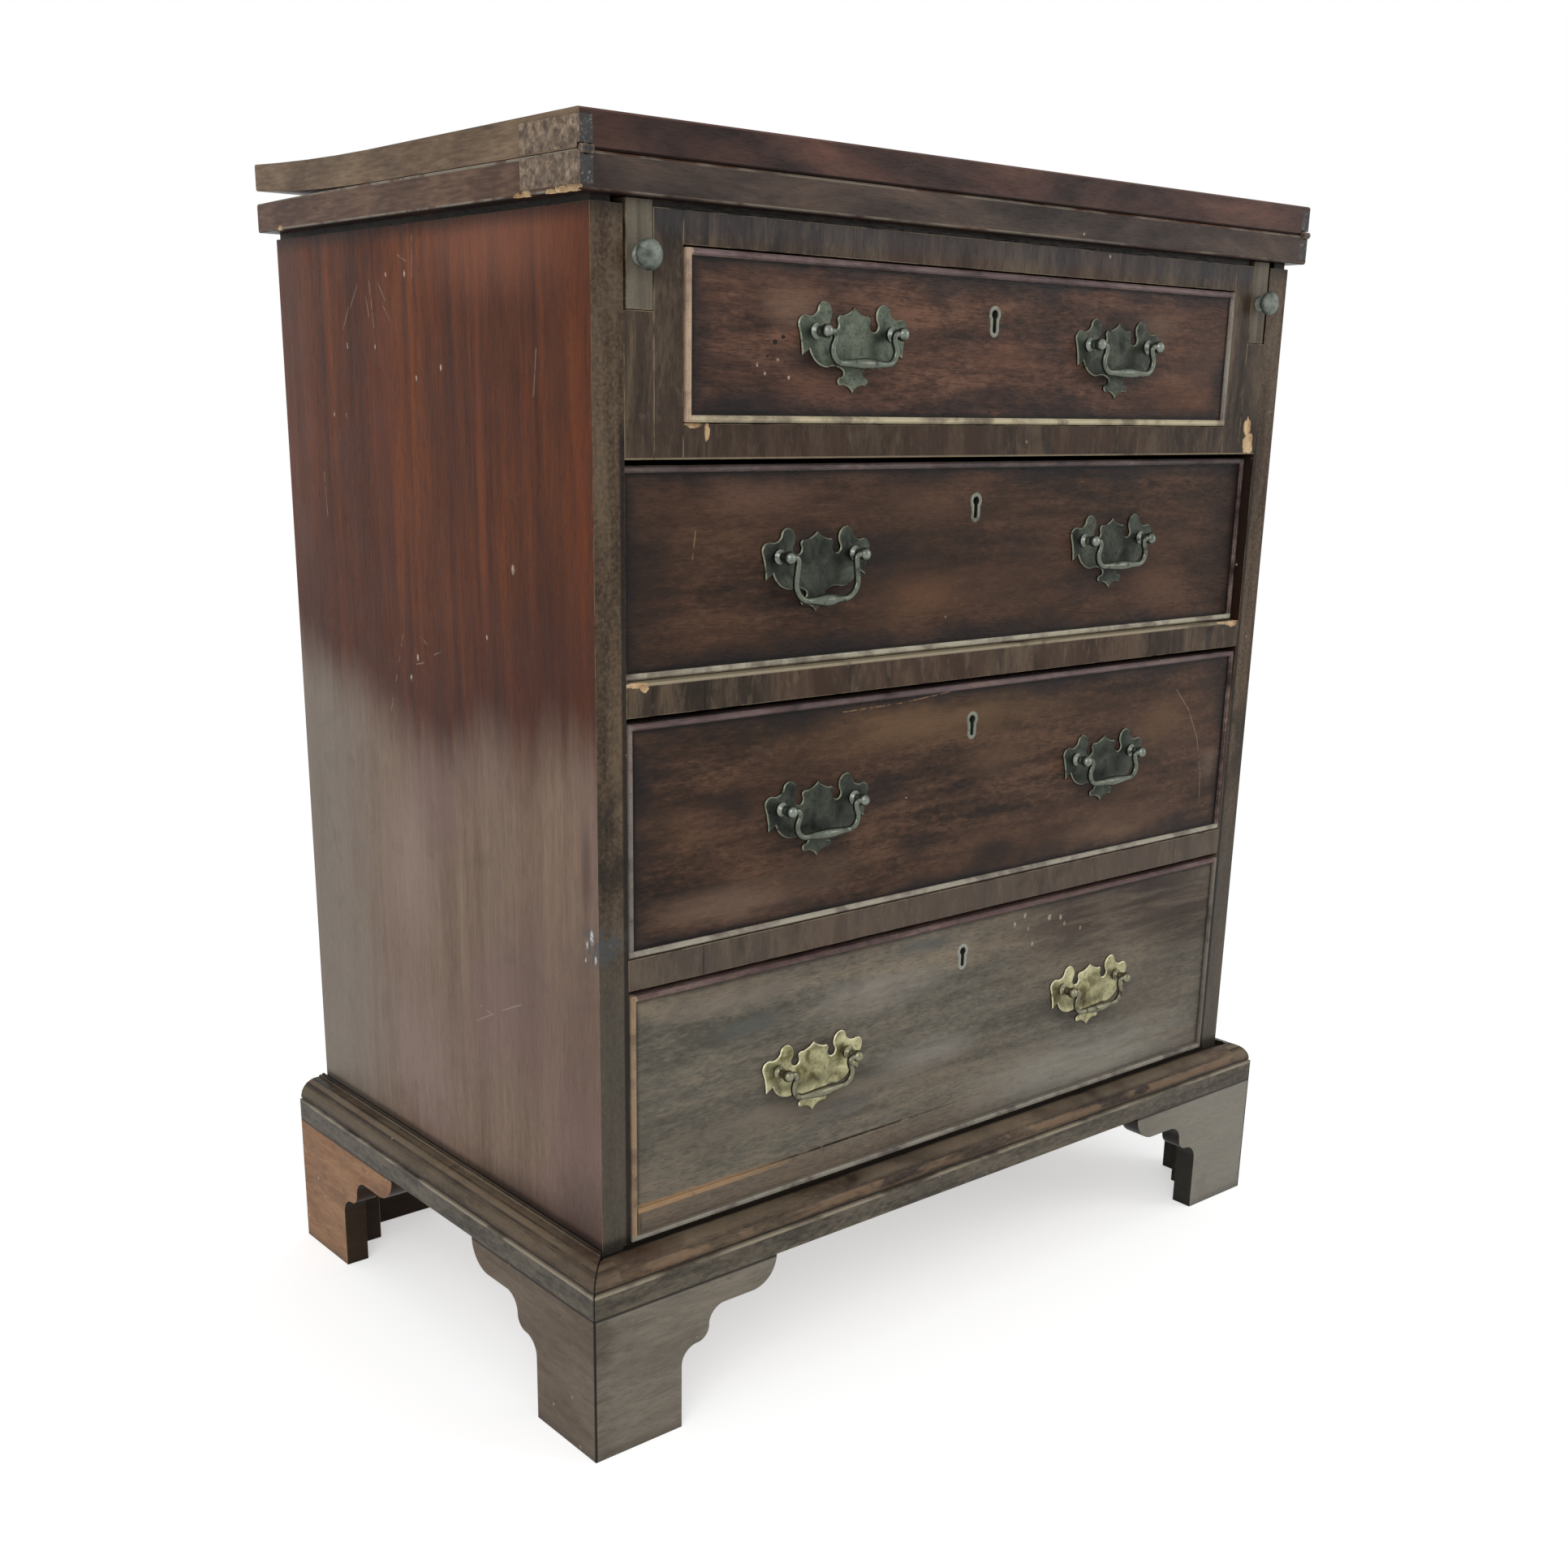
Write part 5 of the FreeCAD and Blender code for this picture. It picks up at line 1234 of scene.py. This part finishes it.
# Pale places on the beads: wear, and along heads and feet also painted highlights
# Drawer, edge, colour, share
PALE_BEADS = [
    (1, "head", (112, 94, 96), 0.6), (1, "foot", (192, 181, 150), 0.95),
    (1, "left", (188, 162, 136), 0.95), (1, "right", (148, 143, 132), 0.85),
    (2, "head", (104, 98, 98), 0.5), (2, "foot", (186, 180, 160), 0.92),
    (3, "head", (112, 96, 98), 0.55), (3, "foot", (170, 164, 148), 0.9), (3, "left", (130, 126, 120), 0.75),
    (4, "head", (106, 84, 81), 0.6), (4, "left", (160, 136, 108), 0.85),
    (4, "foot", (152, 147, 135), 0.9), (4, "right", (122, 116, 106), 0.75),
]
# Centre, then reach along each axis
CHIPS = {
    "rail_upper": [(-250.5, -186.8, 649.8, 6.5, 2.8, 2.6), (-240.5, -186.8, 645, 2, 1.8, 5.6)],
    "rail_middle": [
        (-291.5, -186.8, 500.3, 7.5, 3.2, 2.8), (-286.5, -186.8, 497.5, 3.2, 2.4, 3),
        (291.5, -186.8, 499.5, 8, 3.2, 3), (278, -186.8, 500.6, 7, 2.2, 1.6),
    ],
    "loper_runners": [(288.5, -186.7, 650, 4.6, 2.2, 7), (291, -186.7, 637.5, 6.4, 2.4, 8.5)],
    "fixed_leaf": [
        (-333, -187, 771.2, 4, 7, 3.4), (-333, -175.5, 770.8, 3.5, 6.5, 4.2),
        (-333, -165, 770, 3, 5.5, 2.2), (-333, -139.5, 770.4, 3, 5, 3.6),
        (-333, -131, 770, 2.5, 4.5, 2.2), (-333, 174.3, 770.8, 2.4, 3, 2.6),
    ],
}


# Build

def build_wood():
    side = side_finish()
    crossband = crossband_finish()
    loper = loper_finish()
    bead = bead_finish()
    for node in ("side_left", "side_right"):
        eased(node, EASE_CASE, side)
    for node in ("frieze_rail", "rail_upper", "rail_middle", "rail_lower", "front_stiles", "loper_runners"):
        chip(eased(node, EASE_FINE, crossband), node)
    for side_name in SIDES:
        eased(f"loper_{side_name}", EASE_FINE, loper)
    upper = leaf_finish("fold_leaf_mahogany", 5, ((36, 27, 26), (70, 49, 43), (98, 68, 58)),
                        ((76, 60, 46), (108, 88, 68), (138, 116, 92)))
    lower = leaf_finish("fixed_leaf_mahogany", 6, ((34, 29, 27), (62, 53, 48), (90, 74, 64)),
                        ((54, 38, 30), (86, 63, 50), (118, 92, 74)))
    eased("fold_leaf", EASE_LEAF, upper)
    chip(eased("fixed_leaf", EASE_LEAF, lower), "fixed_leaf")
    eased("base_moulding", EASE_FINE, moulding_finish())
    foot = foot_finish("foot_mahogany", 8, ((82, 74, 64), (108, 100, 89), (126, 117, 105)))
    red_foot = foot_finish("red_foot_mahogany", 8.5, ((112, 76, 48), (144, 104, 70), (164, 123, 86)))
    for place in ("front_left", "front_right", "rear_left", "rear_right"):
        eased(f"foot_{place}", EASE_FOOT, red_foot if place == "rear_left" else foot)
    drawer_tones = {
        1: (((46, 32, 26), (78, 54, 43), (106, 75, 59)), (100, 70, 53)),
        2: (((34, 25, 19), (59, 41, 31), (84, 60, 46)), (80, 56, 41)),
        3: (((36, 26, 20), (64, 46, 35), (92, 67, 51)), (88, 63, 47)),
        # Drawer 4's grey tones: its own greyed colour together with the painted reflection of the floor on
        # the lower chest
        4: (((78, 75, 67), (106, 100, 89), (128, 116, 99)), (116, 100, 84)),
    }
    for n in DRAWERS:
        tones, golden = drawer_tones[n]
        material = drawer_finish(n, tones, golden, 0.75 if n < 4 else 0.25)
        eased(f"drawer_{n}_front", EASE_FINE, material)
        eased(f"drawer_{n}_cockbeads", EASE_BEAD, bead)
    # Dark slips that stand for the shade in the gap under the fixed leaf
    gap_shade_packing = oak_finish("gap_shade_packing", 23, "x", (20, 18, 16), (36, 32, 28), (52, 47, 41))
    build_gap_shade_packing(gap_shade_packing)


def build_gap_shade_packing(material):
    """Dark slips in the gap between the carcass and the fixed leaf, standing for the shade in that gap:
    painted shade.
    """
    bm = new_bmesh()
    low_z, high_z = CARCASS_TOP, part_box("fixed_leaf")[0].z
    front_low, front_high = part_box("front_stiles")
    side_low, side_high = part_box("side_left")
    strips = [((front_low.x, front_low.y + 3 * MM), (front_high.x, front_low.y + 14 * MM))]
    for way in (-1, 1):
        ends = sorted((way * (HALF_WIDTH - 2 * MM), way * (HALF_WIDTH - 15 * MM)))
        strips.append(((ends[0], side_low.y + 2 * MM), (ends[1], side_high.y - 2 * MM)))
    for (x0, y0), (x1, y1) in strips:
        ring = [(x0, y0), (x1, y0), (x1, y1), (x0, y1)]
        ring_mesh(bm, [[(x, y, z) for x, y in ring] for z in (low_z, high_z)])
    face_outward(bm)
    add_piece("leaf_gap_shade_packing", bm, material, frame["nodes"]["side_left"]["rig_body"])


def dress_inside():
    """Finishes for the nodes that show only with the drawers open or from behind."""
    tones = ((84, 62, 40), (122, 94, 62), (150, 120, 84))
    oak = {
        "x": oak_finish("oak_across", 20, "x", *tones),
        "y": oak_finish("oak_deep", 21, "y", *tones),
        "z": oak_finish("deal_upright", 22, "z", (70, 54, 38), (104, 82, 58), (128, 104, 76)),
    }
    grain = {"carcass_bottom": "x", "dustboards": "x", "sub_top": "x", "drawer_stops": "x",
             "loper_partitions": "y", "back_boards": "z"}
    for n in DRAWERS:
        grain[f"drawer_{n}_box"] = "y"
        grain[f"drawer_{n}_bottom"] = "x"
    for node, along in grain.items():
        eased(node, EASE_FINE, oak[along])


# Seed, dark, middle, light and edge colours, roughness, speckle, metallic, grain, steel front
METALS = {
    "bronze": (30, (34, 36, 32), (54, 58, 51), (70, 74, 64), (116, 120, 103), 0.45),
    "pale_bronze": (30.5, (50, 55, 47), (73, 79, 69), (88, 94, 81), (128, 131, 112), 0.45),
    "bail_bronze": (30.8, (40, 42, 37), (62, 66, 58), (80, 85, 76), (98, 103, 92), 0.3, (420, 0.2)),
    "brass": (31, (92, 84, 54), (152, 148, 112), (184, 180, 142), (204, 198, 166), 0.4),
    "bail_brass": (31.5, (48, 46, 37), (78, 76, 62), (98, 96, 80), (122, 119, 100), 0.32, (420, 0.2)),
    "post_bronze": (31.2, (52, 56, 50), (88, 94, 86), (104, 110, 101), (124, 130, 120), 0.32, (420, 0.3)),
    "post_brass": (31.3, (62, 60, 48), (104, 101, 82), (118, 115, 94), (136, 133, 110), 0.32, (420, 0.3)),
    "thread_brass": (31.8, (56, 57, 51), (88, 90, 81), (110, 112, 102), (118, 120, 109), 0.5),
    "pale_thread": (31.9, (74, 74, 69), (112, 112, 105), (132, 132, 125), (138, 138, 130), 0.5),
    "knob_brass": (32, (66, 70, 64), (108, 114, 106), (132, 138, 129), (140, 146, 138), 0.58, (420, 0.5),
                   0.6),
    "hinge_metal": (33, (70, 57, 46), (114, 97, 80), (160, 140, 118), (96, 88, 78), 0.62, (560, 0.6), 0.3,
                    190, True),
    "lock_iron": (34, (34, 30, 28), (62, 56, 52), (88, 82, 76), (110, 104, 98), 0.5),
}


def build_metal():
    metals = {name: metal(name, *row) for name, row in METALS.items()}
    iron = metals["lock_iron"]
    for n in DRAWERS:
        kind, thread = ("brass", "pale_thread") if n == 4 else ("bronze", "thread_brass")
        plates = {side: metals[kind] for side in SIDES}
        if n == 1:
            plates["left"] = metals["pale_bronze"]
        build_brasses(n, plates, metals[f"bail_{kind}"], metals[f"post_{kind}"], metals[thread], iron)
        eased(f"drawer_{n}_lock_bolt", EASE_FINE, iron)
    for side in SIDES:
        build_knob(side, metals["knob_brass"])
    for node in ("hinge_plates_fixed", "hinge_plates_fold"):
        eased(node, EASE_HINGE, metals["hinge_metal"])


# Stage, light and camera

def build_world():
    """White where it is seen, and a softer white sky for the light."""
    world = bpy.data.worlds.new("studio")
    bpy.context.scene.world = world
    world.use_nodes = True
    nodes = Nodes(world.node_tree)
    sky = nodes.tree.nodes["Background"]
    sky.inputs["Color"].default_value = WHITE
    strength = nodes.node("MapRange", [("Value", nodes.seen_directly()), ("To Min", SKY_LEVEL)])
    nodes.feed(sky.inputs["Strength"], strength)


def build_floor():
    bm = bmesh.new()
    bmesh.ops.create_circle(bm, cap_ends=True, radius=FLOOR_REACH, segments=FLOOR_SIDES)
    floor = add_object("floor", bm)
    material = bpy.data.materials.new("floor_white")
    material.use_nodes = True
    nodes = Nodes(material.node_tree)
    sockets = nodes.tree.nodes["Principled BSDF"].inputs
    sockets["Base Color"].default_value = FLOOR_COLOUR
    sockets["Roughness"].default_value = 0.9
    sockets["Specular IOR Level"].default_value = 0
    sockets["Emission Color"].default_value = WHITE
    nodes.feed(sockets["Emission Strength"], nodes.math("MULTIPLY", nodes.seen_directly(), FLOOR_LIFT))
    floor.data.materials.append(material)


def add_lamp(name, place, size, power):
    lamp = bpy.data.lights.new(name, "AREA")
    lamp.shape = "DISK"
    lamp.size = size
    lamp.energy = power
    holder = add_object(name, lamp)
    holder.location = place
    holder.rotation_euler = (Vector(AIM) - Vector(place)).to_track_quat("-Z", "Y").to_euler()


def build_camera():
    """The photograph's viewpoint, lens and framing."""
    camera = bpy.data.cameras.new("camera")
    camera.sensor_fit = "HORIZONTAL"
    camera.sensor_width = SENSOR_WIDTH
    camera.lens = FOCAL_PIXELS / PHOTO_SIDE * SENSOR_WIDTH
    camera.shift_x = (PHOTO_SIDE / 2 - AXIS_PIXEL[0]) / PHOTO_SIDE
    camera.shift_y = (AXIS_PIXEL[1] - PHOTO_SIDE / 2) / PHOTO_SIDE
    camera.clip_start = 0.05
    holder = add_object("camera", camera)
    forward = CAMERA_RIGHT.cross(CAMERA_DOWN)
    turn = Matrix((CAMERA_RIGHT, -CAMERA_DOWN, -forward)).transposed()
    holder.matrix_world = Matrix.Translation(CAMERA_PLACE) @ turn.to_4x4()
    bpy.context.scene.camera = holder


build_wood()
dress_inside()
build_metal()
build_world()
build_floor()
for lamp_row in LAMPS:
    add_lamp(*lamp_row)
build_camera()
bpy.context.scene.view_settings.view_transform = "Standard"
